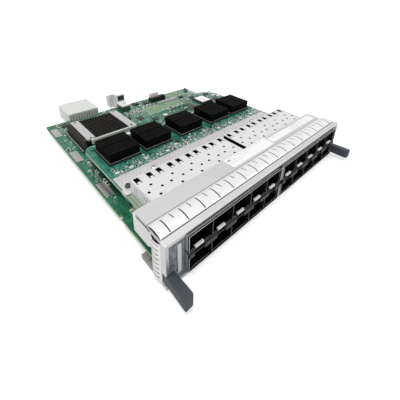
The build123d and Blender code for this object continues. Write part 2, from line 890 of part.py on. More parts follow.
save("faceplate", make_faceplate())
save("status_panel", make_status_panel())
save("indicator_strip", make_indicator_strip())
save("end_strip", make_end_strip())
save("top_plate", make_top_plate())
save("bottom_plate", make_bottom_plate())
save("side_bracket_left", make_side_bracket(-1))
save("side_bracket_right", make_side_bracket(1))
save("top_springs", make_top_springs())
save("side_springs_left", make_side_springs(-1))
save("side_springs_right", make_side_springs(1))
for name, left in zip(("left", "right"), gang_lefts):
    save("upper_cage_" + name, make_cage(left, True))
    save("lower_cage_" + name, make_cage(left, False))
    save("bezel_" + name, make_bezel(left))
save("upper_port_contacts", make_port_contacts(True))
save("lower_port_contacts", make_port_contacts(False))
save("light_guides", make_light_guides())
save("port_tabs", make_port_tabs())
save("port_septa", make_port_septa())
save("main_board", make_main_board())
save("port_board", make_port_board())
save("guide_pads", make_guide_pads())
for number, place in enumerate(chip_places, 1):
    save("port_chip_%d" % number, make_chip(place))
    save("heatsink_%d" % number, make_heatsink(place))
save("switch_chip", make_switch_chip())
save("heatsink_frame", make_heatsink_frame())
save("main_heatsink", make_big_heatsink())
save("rail_left", make_rail(rail_spans()[0]))
save("rail_right", make_rail(rail_spans()[1]))
save("heatsink_bar", make_front_bar())
save("backplane_socket", make_socket())
save("socket_wafers", make_wafers())
save("guide_block", make_guide_block())
save("pin_header", make_header())
save("header_pins", make_header_pins())
save("bar_connector", make_bar())
save("memory_chip", make_memory())
save("standoffs", make_standoffs())
save("standoff_screws", make_screws())
save("ground_strip", make_ground_strip())
save("stack_sockets", make_stack(False))
save("stack_plugs", make_stack(True))
save("edge_spacers", make_edge_spacers())
save("lever_left", make_lever(-1))
save("lever_right", make_lever(1))
save("lever_pin_left", make_lever_pin(-1))
save("lever_pin_right", make_lever_pin(1))

parts_x = (port_board_left + parts_side_margin, port_board_right - parts_side_margin)
save("port_board_parts", make_board_parts(4, parts_x, (strip_back + parts_front_margin,
     chip_row - chip_size / 2 - parts_front_margin), port_board_top, ()))
board_y = (port_board_back + 2 * keep_clear, main_board_back - parts_side_margin)
rear_keep = (
    around((switch_middle_x, switch_middle_y), (frame_width, frame_length + 2 * front_bar_depth)),
    (socket_left - keep_clear, socket_left + socket_width + keep_clear,
     socket_front - 3 * keep_clear, board_y[1]),
    around((guide_bore_x, guide_front), (guide_body_before * 2, 2 * guide_foot_length)),
    around(header_place, header_size), around(bar_place, bar_size),
    (-board_half, -board_half + pad_edge + pad_width + keep_clear, board_y[0], board_y[1]),
    (board_half - pad_edge - pad_width - keep_clear, board_half, board_y[0], board_y[1]))
save("main_board_parts", make_board_parts(7, parts_x, board_y, main_board_top, rear_keep))
print(len(written), "nodes written")
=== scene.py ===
import bpy
import json
import math
import random
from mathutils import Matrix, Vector


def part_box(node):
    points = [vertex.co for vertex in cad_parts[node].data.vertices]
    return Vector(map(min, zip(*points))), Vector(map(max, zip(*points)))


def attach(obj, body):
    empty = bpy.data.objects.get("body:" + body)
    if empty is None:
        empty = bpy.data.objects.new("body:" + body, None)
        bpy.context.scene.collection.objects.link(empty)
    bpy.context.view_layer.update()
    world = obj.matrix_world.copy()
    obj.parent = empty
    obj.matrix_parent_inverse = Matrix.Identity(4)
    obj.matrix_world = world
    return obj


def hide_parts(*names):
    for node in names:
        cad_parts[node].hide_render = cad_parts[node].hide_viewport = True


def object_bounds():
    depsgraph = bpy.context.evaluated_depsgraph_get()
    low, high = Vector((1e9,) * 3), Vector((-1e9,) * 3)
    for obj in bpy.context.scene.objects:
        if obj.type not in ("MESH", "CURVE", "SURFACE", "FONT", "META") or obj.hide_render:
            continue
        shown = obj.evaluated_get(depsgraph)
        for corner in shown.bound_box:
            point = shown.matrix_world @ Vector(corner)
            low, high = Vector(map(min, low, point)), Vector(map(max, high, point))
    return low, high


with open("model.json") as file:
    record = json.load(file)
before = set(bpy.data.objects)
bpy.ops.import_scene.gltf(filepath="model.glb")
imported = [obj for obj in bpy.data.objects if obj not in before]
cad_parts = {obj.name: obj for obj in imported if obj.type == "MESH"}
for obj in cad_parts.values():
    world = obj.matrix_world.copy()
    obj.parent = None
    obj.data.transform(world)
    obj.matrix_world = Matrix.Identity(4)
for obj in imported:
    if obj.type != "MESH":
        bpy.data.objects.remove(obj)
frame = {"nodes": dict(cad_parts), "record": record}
cad_lo, cad_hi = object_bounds()
nodes = frame["nodes"]
MM = 0.001
PORT_PITCH = 14.25

# Camera

camera_data = bpy.data.cameras.new("camera")
camera = bpy.data.objects.new("camera", camera_data)
bpy.context.scene.collection.objects.link(camera)
camera.location = (-0.12354, -0.06115, 0.12017)
camera.rotation_euler = [math.radians(a) for a in (65.3738, -1.4352, -42.8129)]
camera_data.lens = 24.176
camera_data.sensor_width = 36.0
camera_data.shift_y = -0.225
camera_data.clip_start = 0.005
camera_data.clip_end = 50.0
bpy.context.scene.camera = camera
bpy.context.scene.view_settings.view_transform = "Standard"


# Node helpers

finishes = {}


class Tree:
    """The nodes of a new material, or of the world, with a short call for each kind."""

    def __init__(self, name, world=None):
        self.name = name
        self.owner = world or bpy.data.materials.new(name)
        self.owner.use_nodes = True
        self.nodes = self.owner.node_tree.nodes
        self.shader = self.nodes["Background" if world else "Principled BSDF"]

    def feed(self, socket, value):
        """Links a socket to another one, or sets it to a number, a vector or a colour."""
        if isinstance(value, bpy.types.NodeSocket):
            self.owner.node_tree.links.new(value, socket)
        elif socket.type == "RGBA":
            socket.default_value = (*value, 1.0)
        else:
            socket.default_value = value

    def fill(self, node, **inputs):
        """Feeds the named inputs of a node, with an underscore for each space in a name."""
        for name, value in inputs.items():
            self.feed(node.inputs[name.replace("_", " ")], value)
        return node

    def node(self, kind, **inputs):
        return self.fill(self.nodes.new("ShaderNode" + kind), **inputs)

    def place(self, stretch):
        coords = self.node("TexCoord").outputs["Object"]
        return self.node("Mapping", Vector=coords, Scale=stretch).outputs["Vector"]

    def noise(self, scale, detail=3.0, rough=0.55, stretch=(1, 1, 1)):
        node = self.node("TexNoise", Vector=self.place(stretch), Scale=scale, Detail=detail, Roughness=rough)
        return node.outputs["Fac"]

    def cells(self, scale, feature, distance, stretch, output="Distance"):
        node = self.node("TexVoronoi", Vector=self.place(stretch), Scale=scale)
        node.feature = feature
        node.distance = distance
        return node.outputs[output]

    def ramp(self, source, *stops):
        """Colours along a value, from pairs of position and colour."""
        node = self.node("ValToRGB", Fac=source)
        elements = node.color_ramp.elements
        while len(elements) < len(stops):
            elements.new(0.5)
        for element, (position, colour) in zip(elements, stops):
            element.position = position
            element.color = (*colour, 1.0)
        return node.outputs["Color"]

    def lines(self, distance, width, end):
        """White along the borders of cells, black away from them."""
        return self.ramp(distance, (0.0, grey(1)), (width, grey(1)), (end, grey(0)))

    def span(self, source, low, high, from_low=0.3, from_high=0.7):
        node = self.node("MapRange", Value=source, From_Min=from_low, From_Max=from_high,
                         To_Min=low, To_Max=high)
        return node.outputs["Result"]

    def mix(self, factor, first, second):
        node = self.nodes.new("ShaderNodeMix")
        node.data_type = "RGBA"
        for place, value in ((0, factor), (6, first), (7, second)):
            self.feed(node.inputs[place], value)
        return node.outputs[2]

    def math(self, operation, *values):
        node = self.nodes.new("ShaderNodeMath")
        node.operation = operation
        for socket, value in zip(node.inputs, values):
            self.feed(socket, value)
        return node.outputs[0]

    def blend(self, first, second, share):
        return self.math("ADD", self.math("MULTIPLY", first, share), self.math("MULTIPLY", second, 1 - share))

    def bump(self, height, strength, distance):
        return self.node("Bump", Height=height, Strength=strength, Distance=distance).outputs["Normal"]

    def rise(self, normal):
        """How squarely a face looks up or down, from 0 to 1."""
        split = self.node("SeparateXYZ", Vector=self.node("NewGeometry").outputs[normal])
        return self.math("ABSOLUTE", split.outputs["Z"])

    def facing_up(self):
        return self.math("GREATER_THAN", self.rise("Normal"), 0.6)

    def sloped(self):
        """One on faces that lean, such as the cut top edges of fins; zero on flat and upright faces."""
        rise = self.rise("True Normal")
        return self.math("MULTIPLY", self.math("GREATER_THAN", rise, 0.2), self.math("LESS_THAN", rise, 0.9))

    def done(self, colour, roughness, **inputs):
        """Feeds the shader and keeps the material among the finishes."""
        self.fill(self.shader, Base_Color=colour, Roughness=roughness, **inputs)
        finishes[self.name] = self.owner


def grey(value):
    return (value, value, value)


# Finishes

def metal(name, light, dark, roughness, brush, tint=(1, 1, 1), bare=1.0):
    t = Tree(name)
    streaks = t.noise(260, 4.0, 0.6, brush)
    cloud = t.noise(38)
    low = tuple(dark * c for c in tint)
    high = tuple(light * c for c in tint)
    colour = t.mix(t.span(streaks, 0.0, 0.35), t.ramp(cloud, (0.35, low), (0.65, high)),
                   tuple(0.86 * c for c in high))
    # Bent and cut edges are polished bright by handling.
    worn = t.span(t.node("NewGeometry").outputs["Pointiness"], 0.0, 0.5, 0.52, 0.6)
    colour = t.mix(worn, colour, tuple(min(1.0, 1.12 * c) for c in high))
    rough = t.span(t.blend(streaks, cloud, 0.6), *roughness)
    t.done(colour, rough, Normal=t.bump(streaks, 0.1, 0.00004), Metallic=bare)


def plastic(name, light, dark, roughness, shine=0.5, grain=1800, depth=0.15):
    t = Tree(name)
    fine = t.noise(grain, 2.0)
    cloud = t.noise(60)
    colour = t.ramp(t.blend(fine, cloud, 0.5), (0.36, dark), (0.64, light))
    t.done(colour, t.span(cloud, *roughness), Normal=t.bump(fine, depth, 0.00005), Specular_IOR_Level=shine)


def solder_mask(name, dark, light, run, core_dark, core_light):
    """Green board: cloudy mask, paler lines of copper under it, and a pale fibre core at its edges."""
    t = Tree(name)
    cloud = t.noise(45, 4.0)
    along = t.cells(260, "DISTANCE_TO_EDGE", "EUCLIDEAN", (1, 0.12, 1))
    across = t.cells(240, "DISTANCE_TO_EDGE", "EUCLIDEAN", (0.12, 1, 1))
    patch = t.ramp(t.noise(70, 1.0), (0.45, grey(0)), (0.52, grey(1)))
    runs = t.math("MAXIMUM", t.lines(along, 0.05, 0.09), t.lines(across, 0.04, 0.08))
    runs = t.math("MULTIPLY", runs, patch)
    green = t.mix(t.math("MULTIPLY", runs, 0.6), t.ramp(cloud, (0.3, dark), (0.7, light)), run)
    grain = t.noise(900, 3.0, 0.5, (1, 1, 0.25))
    core = t.ramp(grain, (0.35, core_dark), (0.65, core_light))
    height = t.math("ADD", runs, t.math("MULTIPLY", grain, 0.2))
    t.done(t.mix(t.facing_up(), core, green), t.span(cloud, 0.22, 0.34), Normal=t.bump(height, 0.25, 0.00005),
           Coat_Weight=0.05, Coat_Roughness=0.2, Specular_IOR_Level=0.22)


def panel_print():
    t = Tree("panel_print")
    spots = t.cells(700, "F1", "CHEBYCHEV", (1, 1, 0.6), "Color")
    blur = t.noise(420, 4.0)
    one = t.ramp(spots, (0.25, (0.08, 0.11, 0.125)), (0.5, (0.15, 0.19, 0.205)), (0.8, (0.27, 0.31, 0.33)))
    colour = t.mix(t.span(blur, 0.1, 0.9), one, (0.155, 0.19, 0.21))
    t.done(colour, 0.42, Normal=t.bump(blur, 0.1, 0.00005), Specular_IOR_Level=0.3)


def black_anodised():
    """Black finned metal whose leaning cut edges carry a thin brown painted highlight."""
    t = Tree("black_anodised")
    streak = t.noise(160, 4.0, 0.6, (0.15, 2, 2))
    body = t.ramp(streak, (0.35, (0.0022, 0.0027, 0.0024)), (0.75, (0.0046, 0.0052, 0.0045)))
    # Leaning faces are painted a lighter brown as a highlight.
    t.done(t.mix(t.sloped(), body, (0.013, 0.012, 0.0105)), t.span(t.noise(1500), 0.5, 0.65),
           Normal=t.bump(streak, 0.12, 0.00006), Specular_IOR_Level=0.03)


def pin_metal():
    """The large heatsink's pins: black sides, with brownish painted highlights on their tops and leaning
    edges.
    """
    t = Tree("pin_metal")
    fine = t.noise(1500)
    body = t.ramp(fine, (0.35, (0.0045, 0.0038, 0.0042)), (0.75, (0.017, 0.014, 0.015)))
    tops = t.ramp(t.noise(500, 2.0), (0.3, (0.013, 0.0125, 0.0115)), (0.7, (0.034, 0.032, 0.029)))
    # Upward tops are painted lighter, and leaning edges lighter still, as highlights.
    colour = t.mix(t.facing_up(), body, tops)
    colour = t.mix(t.math("MULTIPLY", t.sloped(), 0.7), colour, (0.036, 0.033, 0.03))
    t.done(colour, t.span(fine, 0.45, 0.6), Normal=t.bump(fine, 0.15, 0.00005), Specular_IOR_Level=0.06)


def bare_laminate():
    """The pale yellow green of an unfilled connector place, with its fine grid."""
    t = Tree("bare_laminate")
    cloud = t.noise(130)
    base = t.ramp(cloud, (0.35, (0.1, 0.28, 0.18)), (0.6, (0.27, 0.33, 0.16)))
    lines = t.lines(t.cells(787, "DISTANCE_TO_EDGE", "CHEBYCHEV", (1, 1, 0.01)), 0.06, 0.12)
    colour = t.mix(t.math("MULTIPLY", lines, 0.35), base, (0.16, 0.33, 0.24))
    t.done(colour, 0.4, Normal=t.bump(cloud, 0.1, 0.00004), Specular_IOR_Level=0.3)


def dotted_strip():
    t = Tree("dotted_strip")
    colour = t.ramp(t.noise(90), (0.35, (0.62, 0.595, 0.595)), (0.65, (0.68, 0.66, 0.66)))
    streaks = t.noise(300, 4.0, 0.6, (0.5, 14, 14))
    t.done(colour, t.span(streaks, 0.34, 0.46), Normal=t.bump(streaks, 0.08, 0.00004), Metallic=0.75)


def label_paper():
    t = Tree("label_paper")
    fibre = t.noise(1400, 4.0)
    colour = t.ramp(fibre, (0.35, (0.86, 0.87, 0.88)), (0.65, (0.9, 0.91, 0.92)))
    t.done(colour, t.span(fibre, 0.45, 0.6), Normal=t.bump(fibre, 0.08, 0.00003), Specular_IOR_Level=0.3)


# Light and dark shade, roughness, brushing, then tint and bareness where they differ
METALS = (
    ("faceplate_metal", 0.66, 0.6, (0.34, 0.48), (1, 30, 30)),
    ("sheet_metal", 0.71, 0.66, (0.26, 0.4), (0.4, 12, 12)),
    ("cage_metal", 0.72, 0.67, (0.32, 0.46), (12, 0.5, 12), (0.985, 0.985, 1.0), 0.35),
    ("bare_metal", 0.54, 0.48, (0.36, 0.5), (8, 1, 8), (1.0, 0.985, 0.985)),
    ("steel", 0.7, 0.6, (0.2, 0.32), (4, 4, 4)),
    ("outline", 0.62, 0.54, (0.3, 0.42), (6, 6, 6)),
    ("plate_metal", 0.6, 0.56, (0.3, 0.44), (0.4, 12, 12)),
    ("spring_metal", 0.8, 0.76, (0.26, 0.4), (0.4, 12, 12), (1, 1, 1), 0.85),
    ("pad_metal", 0.42, 0.34, (0.24, 0.36), (6, 1, 6), (1.0, 0.98, 0.99)),
    ("frame_dark", 0.1, 0.07, (0.35, 0.5), (6, 6, 6), (0.9, 1.0, 0.95)),
    ("lever_pin", 0.12, 0.08, (0.35, 0.5), (6, 6, 6)),
    ("solder", 0.74, 0.58, (0.22, 0.36), (6, 6, 6)),
    ("screw_green", 0.2, 0.14, (0.35, 0.5), (6, 6, 6), (0.45, 1.0, 0.8)),
)
# Light and dark colour, roughness, then shine, grain and depth where they differ
PLASTICS = (
    ("white_plastic", (0.72, 0.73, 0.71), (0.66, 0.67, 0.65), (0.3, 0.44), 0.5, 900, 0.1),
    ("ceramic_parts", (0.46, 0.42, 0.36), (0.36, 0.32, 0.27), (0.4, 0.5)),
    ("chip_black", (0.02, 0.021, 0.022), (0.01, 0.011, 0.012), (0.45, 0.6), 0.3),
    ("black_plastic", (0.009, 0.01, 0.009), (0.004, 0.005, 0.005), (0.4, 0.55), 0.3),
    ("grey_plastic", (0.52, 0.53, 0.52), (0.44, 0.45, 0.44), (0.4, 0.55)),
    ("dark_plastic", (0.046, 0.046, 0.045), grey(0.03), (0.4, 0.55), 0.3),
    ("lever_plastic", (0.07, 0.08, 0.092), (0.052, 0.061, 0.071), (0.42, 0.58), 0.2, 1400, 0.25),
    ("shade_grey", grey(0.05), grey(0.036), (0.5, 0.65), 0.15),
    ("bezel_grey", grey(0.013), grey(0.008), (0.45, 0.6), 0.12),
    ("divider_grey", (0.15, 0.15, 0.148), (0.11, 0.11, 0.108), (0.4, 0.55), 0.3),
    ("bright_guide", (0.96, 0.96, 0.95), (0.93, 0.93, 0.92), (0.2, 0.3), 0.5, 900, 0.05),
    # This near-black finish is painted shade inside the ports and in the slots between them.
    ("port_dark", (0.0045, 0.0048, 0.0046), (0.0016, 0.0018, 0.0016), (0.6, 0.8), 0.02, 700, 0.3),
    ("shadow_line", (0.04, 0.04, 0.042), (0.024, 0.024, 0.026), (0.6, 0.8), 0.1),
    ("print_grey", (0.3, 0.31, 0.34), (0.22, 0.23, 0.26), (0.5, 0.6), 0.2),
    ("print_faint", (0.62, 0.62, 0.66), (0.52, 0.52, 0.56), (0.5, 0.6), 0.2),
    ("pin_pink", (0.92, 0.81, 0.84), (0.8, 0.7, 0.73), (0.3, 0.45), 0.4, 900, 0.1),
    ("pinkish", (0.56, 0.49, 0.51), (0.45, 0.39, 0.41), (0.3, 0.45), 0.4, 900, 0.1),
    ("rib_dark", (0.075, 0.066, 0.066), (0.045, 0.04, 0.04), (0.5, 0.65), 0.1, 900, 0.2),
    ("bar_pale", (0.62, 0.66, 0.59), (0.52, 0.56, 0.49), (0.4, 0.55), 0.3, 900, 0.1),
    ("foot_metal", (0.45, 0.425, 0.42), (0.37, 0.35, 0.345), (0.35, 0.5), 0.4, 900, 0.1),
    ("via", (0.2, 0.4, 0.31), (0.13, 0.3, 0.23), (0.3, 0.45)),
    ("silk", (0.62, 0.68, 0.65), (0.5, 0.58, 0.54), (0.5, 0.6), 0.3),
    ("tan", (0.5, 0.43, 0.34), (0.38, 0.32, 0.25), (0.35, 0.5)),
    ("brown", (0.2, 0.135, 0.085), (0.13, 0.085, 0.055), (0.35, 0.5)),
    ("part_black", (0.016, 0.017, 0.018), (0.009, 0.01, 0.011), (0.35, 0.5), 0.4),
    ("part_white", (0.78, 0.8, 0.78), (0.66, 0.69, 0.67), (0.3, 0.45)),
    ("part_grey", (0.13, 0.14, 0.15), (0.085, 0.092, 0.098), (0.35, 0.5)),
    ("base_line", (0.38, 0.36, 0.33), (0.29, 0.27, 0.25), (0.4, 0.55)),
    ("carrier_line", (0.028, 0.036, 0.032), (0.016, 0.022, 0.019), (0.4, 0.55), 0.2),
    # finger_dark is painted shade on the sprung fingers inside the ports.
    ("finger_dark", grey(0.018), grey(0.008), (0.5, 0.6), 0.1),
    ("dull_pale", (0.4, 0.4, 0.395), (0.32, 0.32, 0.315), (0.4, 0.55), 0.3),
    ("dull_line", (0.26, 0.26, 0.255), (0.2, 0.2, 0.195), (0.35, 0.5), 0.4),
    ("panel_mark", (0.46, 0.52, 0.55), (0.36, 0.42, 0.45), (0.5, 0.6), 0.2),
    ("dot_grey", (0.2, 0.2, 0.22), (0.12, 0.12, 0.14), (0.5, 0.65), 0.2),
    ("seam_grey", (0.66, 0.67, 0.66), (0.6, 0.61, 0.6), (0.5, 0.65), 0.2),
    # valley_grey is painted shade in the valley along the front of the spring strip.
    ("valley_grey", (0.12, 0.12, 0.125), (0.08, 0.08, 0.085), (0.5, 0.65), 0.2),
    ("knob_dark", (0.075, 0.085, 0.085), (0.045, 0.052, 0.052), (0.35, 0.5), 0.4),
    ("bare_edge", (0.35, 0.43, 0.33), (0.29, 0.37, 0.28), (0.35, 0.5)),
    ("light_grey", (0.84, 0.85, 0.83), (0.76, 0.77, 0.75), (0.4, 0.55)),
    ("socket_blue", (0.36, 0.38, 0.43), (0.26, 0.28, 0.33), (0.4, 0.55)),
    # This dark green is painted shade, with a painted reflection of the green board.
    ("foot_dark", (0.04, 0.07, 0.05), (0.026, 0.05, 0.036), (0.4, 0.55)),
)
# Dark and light mask, copper runs, dark and light core
MASKS = (
    ("board_green", (0.008, 0.11, 0.075), (0.018, 0.176, 0.125), (0.055, 0.29, 0.21), (0.34, 0.42, 0.31),
     (0.52, 0.58, 0.46)),
    # The lower board's mask is darker than board_green as painted shade; its yellower core is the board's
    # own.
    ("lower_board", (0.007, 0.092, 0.04), (0.018, 0.156, 0.08), (0.045, 0.24, 0.15), (0.2, 0.38, 0.12),
     (0.34, 0.52, 0.22)),
    ("trace", (0.045, 0.25, 0.175), (0.065, 0.31, 0.225), (0.09, 0.35, 0.26), (0.05, 0.2, 0.15),
     (0.06, 0.25, 0.19)),
)
for make, rows in ((metal, METALS), (plastic, PLASTICS), (solder_mask, MASKS)):
    for row in rows:
        make(*row)
for make in (panel_print, black_anodised, pin_metal, bare_laminate, dotted_strip, label_paper):
    make()

slot_of = {part["node"]: part["material_slot"] for part in frame["record"]["subparts"]}
own_finish = {
    "main_board": "lower_board", "bezel_left": "bezel_grey", "bezel_right": "bezel_grey",
    "ground_strip": "dotted_strip", "bar_connector": "pinkish", "guide_pads": "pad_metal",
    "heatsink_frame": "frame_dark", "lever_pin_left": "lever_pin", "lever_pin_right": "lever_pin",
    "top_plate": "plate_metal", "bottom_plate": "foot_metal", "edge_spacers": "foot_metal",
    "top_springs": "spring_metal", "side_springs_left": "spring_metal", "side_springs_right": "spring_metal",
}
for name in nodes:
    data = nodes[name].data
    data.materials.clear()
    data.materials.append(finishes[own_finish.get(name, slot_of[name])])


# Mesh helpers

BOX_FACES = ((0, 3, 2, 1), (4, 5, 6, 7), (0, 1, 5, 4), (1, 2, 6, 5), (2, 3, 7, 6), (3, 0, 4, 7))


def offset_path(points, offset):
    """The path moved sideways by offset, mitred at its bends."""
    moved = []
    for i, (x, y) in enumerate(points):
        normals = []
        for a, b in ((i - 1, i), (i, i + 1)):
            if a >= 0 and b < len(points):
                dx = points[b][0] - points[a][0]
                dy = points[b][1] - points[a][1]
                length = math.hypot(dx, dy)
                normals.append((-dy / length, dx / length))
        nx = sum(n[0] for n in normals) / len(normals)
        ny = sum(n[1] for n in normals) / len(normals)
        scale = offset / (nx * nx + ny * ny)
        moved.append((x + nx * scale, y + ny * scale))
    return moved


def circle(x, y, z, radius, sides):
    turns = [2 * math.pi * i / sides for i in range(sides)]
    return [(x + radius * math.cos(t), y + radius * math.sin(t), z) for t in turns]


class Solid:
    """Collects closed shapes, given in millimetres, into one mesh."""

    def __init__(self):
        self.points = []
        self.faces = []
        self.finish = []

    def add(self, points, faces, finish):
        base = len(self.points)
        self.points += points
        self.faces += [tuple(base + i for i in face) for face in faces]
        self.finish += [finish] * len(faces)

    def box(self, x0, x1, y0, y1, z0, z1, finish=0):
        self.add([(x0, y0, z0), (x1, y0, z0), (x1, y1, z0), (x0, y1, z0),
                  (x0, y0, z1), (x1, y0, z1), (x1, y1, z1), (x0, y1, z1)], BOX_FACES, finish)

    def turned(self, upright, x, y, a, b, across, z0, z1, finish):
        """A box that goes from a to b beyond a point, along X, or along Y if upright."""
        if upright:
            self.box(x - across, x + across, y + a, y + b, z0, z1, finish)
        else:
            self.box(x + a, x + b, y - across, y + across, z0, z1, finish)

    def stack(self, rings, finish=0):
        """Joins rings of points, each turning left seen from the next, and closes both ends."""
        n = len(rings[0])
        faces = []
        for k in range(len(rings) - 1):
            for i in range(n):
                j = (i + 1) % n
                faces.append((k * n + i, k * n + j, (k + 1) * n + j, (k + 1) * n + i))
        faces.append(tuple(range((len(rings) - 1) * n, len(rings) * n)))
        faces.append(tuple(reversed(range(n))))
        self.add([p for ring in rings for p in ring], faces, finish)

    def soft_box(self, x0, x1, y0, y1, z0, z1, edge, finish=0, corner=None):
        """A box with its top edges cut back by edge and its upright corners by corner."""
        cut = edge if corner is None else corner
        rings = []
        for inset, z in ((0, z0), (0, z1 - edge), (edge, z1)):
            a0, a1, b0, b1 = x0 + inset, x1 - inset, y0 + inset, y1 - inset
            c = max(cut - inset * 0.4, 0.02)
            rings.append([(a0 + c, b0, z), (a1 - c, b0, z), (a1, b0 + c, z), (a1, b1 - c, z),
                          (a1 - c, b1, z), (a0 + c, b1, z), (a0, b1 - c, z), (a0, b0 + c, z)])
        self.stack(rings, finish)

    def post(self, x, y, z0, z1, radius, sides=12, finish=0, edge=0.0):
        rings = [circle(x, y, z0, radius, sides), circle(x, y, z1 - edge, radius, sides)]
        if edge:
            rings.append(circle(x, y, z1, radius - edge, sides))
        self.stack(rings, finish)

    def track(self, points, width, z, height, finish):
        """A flat closed run along points."""
        sides = zip(offset_path(points, -width / 2), offset_path(points, width / 2))
        self.stack([[(*a, z), (*b, z), (*b, z + height), (*a, z + height)] for a, b in sides], finish)

    def frame(self, x0, x1, y0, y1, z0, z1, width, finish):
        self.box(x0, x1, y0, y0 + width, z0, z1, finish)
        self.box(x0, x1, y1 - width, y1, z0, z1, finish)
        self.box(x0, x0 + width, y0 + width, y1 - width, z0, z1, finish)
        self.box(x1 - width, x1, y0 + width, y1 - width, z0, z1, finish)

    def made(self, name, slot, *finish_names, replaces=()):
        """Makes the piece, which rides on the card and stands in for the nodes it replaces."""
        data = bpy.data.meshes.new(name)
        data.from_pydata([(x * MM, y * MM, z * MM) for x, y, z in self.points], [], self.faces)
        for finish in finish_names:
            data.materials.append(finishes[finish])
        data.polygons.foreach_set("material_index", self.finish)
        data.update()
        piece = bpy.data.objects.new(name, data)
        bpy.context.scene.collection.objects.link(piece)
        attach(piece, "card")
        if replaces:
            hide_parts(*replaces)


def flat(low, high):
    """A box as x0, x1, y0, y1, z0, z1 in millimetres."""
    return [v / MM for pair in zip(low, high) for v in pair]


def box_mm(node):
    return flat(*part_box(node))


def islands(node):
    """The boxes of a node's separate solids, in millimetres."""
    data = nodes[node].data
    parent = list(range(len(data.vertices)))

    def root(i):
        while parent[i] != i:
            parent[i] = parent[parent[i]]
            i = parent[i]
        return i

    seen = {}
    for vertex in data.vertices:
        key = tuple(round(c, 7) for c in vertex.co)
        if key in seen:
            parent[root(vertex.index)] = root(seen[key])
        else:
            seen[key] = vertex.index
    for edge in data.edges:
        parent[root(edge.vertices[0])] = root(edge.vertices[1])
    boxes = {}
    for vertex in data.vertices:
        low, high = boxes.setdefault(root(vertex.index), [list(vertex.co), list(vertex.co)])
        for i, value in enumerate(vertex.co):
            low[i] = min(low[i], value)
            high[i] = max(high[i], value)
    return [flat(low, high) for low, high in sorted(boxes.values())]


def room_round(box, room):
    """The flat box that leaves room round another one."""
    return (box[0] - room, box[1] + room, box[2] - room, box[3] + room)


def around(x, y, dx, dy):
    return (x - dx, x + dx, y - dy, y + dy)


def snapped(rng, span, grid):
    return round(rng.uniform(*span) / grid) * grid


port_top = box_mm("port_board")[5]
main_top = box_mm("main_board")[5]
main_bottom = box_mm("main_board")[4]


# Soldered parts

ENDS, TAN, BROWN, BLACK, WHITE, DARK, PAD = range(7)
part_finishes = ("solder", "tan", "brown", "part_black", "part_white", "part_grey", "solder")
PART_KINDS = ((1.0, 0.55, 0.4), (1.0, 0.55, 0.4), (1.6, 0.85, 0.6), (2.0, 1.25, 0.85))
LEAD_PITCH = 0.65
PART_BODIES = (TAN, BROWN, BLACK, WHITE, WHITE, TAN, BLACK)


def two_ended(solid, x, y, z, length, width, height, body, upright=False):
    """A small part with soldered ends on its two pads, along X, or along Y if upright."""
    cap = 0.24 * length
    half = length / 2
    for a, b, slim, finish in ((-half, cap - half, 0.0, ENDS), (half - cap, half, 0.0, ENDS),
                               (cap - half, half - cap, 0.03, body)):
        solid.turned(upright, x, y, a, b, width / 2 - slim, z, z + height - slim, finish)
    for sign in (-1, 1):
        a, b = sorted((sign * (half - cap), sign * (half + 0.25)))
        solid.turned(upright, x, y, a, b, width / 2 + 0.07, z - 0.02, z + 0.06, PAD)


def leaded_chip(solid, x, y, z, width, depth, height, sides="xy"):
    """A moulded chip with bent leads along the named sides."""
    solid.soft_box(*around(x, y, width / 2, depth / 2), z + 0.1, z + height, 0.12, BLACK)
    for axis in sides:
        upright = axis == "y"
        across, along = (depth, width) if upright else (width, depth)
        count = int((along - 0.6) / LEAD_PITCH)
        for k in range(count):
            t = (k - (count - 1) / 2) * LEAD_PITCH
            place = (x + t, y) if upright else (x, y + t)
            for sign in (-1, 1):
                for near, far, low, high in ((0.0, 0.4, 0.1 * height, 0.5 * height), (0.3, 0.85, 0.0, 0.14)):
                    a, b = sorted((sign * (across / 2 + near), sign * (across / 2 + far)))
                    solid.turned(upright, *place, a, b, LEAD_PITCH * 0.21, z + low, z + high, ENDS)
    top = z + height
    solid.post(x - width / 2 + 0.8, y - depth / 2 + 0.8, top - 0.05, top + 0.015, 0.25, 10, DARK)


def can(solid, x, y, z, width, depth, height, finish=ENDS):
    """A can with rounded ends."""
    r = min(width, depth) / 2
    outline = []
    for i in range(20):
        t = 2 * math.pi * (i + 0.5) / 20
        cx = math.copysign(width / 2 - r, math.cos(t))
        cy = math.copysign(depth / 2 - r, math.sin(t))
        outline.append((x + cx + r * math.cos(t), y + cy + r * math.sin(t)))
    solid.stack([[(a, b, z) for a, b in outline], [(a, b, z + height - 0.2) for a, b in outline],
                 [(x + (a - x) * 0.93, y + (b - y) * 0.93, z + height) for a, b in outline]], finish)


def clear_of(box, placed):
    return all(box[1] <= q[0] or q[1] <= box[0] or box[3] <= q[2] or q[3] <= box[2] for q in placed)


def part_field(solid, rng, x_range, y_range, z, count, placed, bodies=PART_BODIES, grid=0.5):
    """Adds small parts on a common grid, clear of what is placed, and notes where they are."""
    made = 0
    for _ in range(count * 14):
        if made >= count:
            break
        length, width, height = rng.choice(PART_KINDS)
        upright = rng.random() < 0.5
        x = snapped(rng, x_range, grid)
        y = snapped(rng, y_range, grid)
        half_x, half_y = (width / 2, length / 2) if upright else (length / 2, width / 2)
        box = room_round(around(x, y, half_x, half_y), 0.3)
        if not clear_of(box, placed):
            continue
        placed.append(box)
        two_ended(solid, x, y, z, length, width, height, rng.choice(bodies), upright)
        made += 1


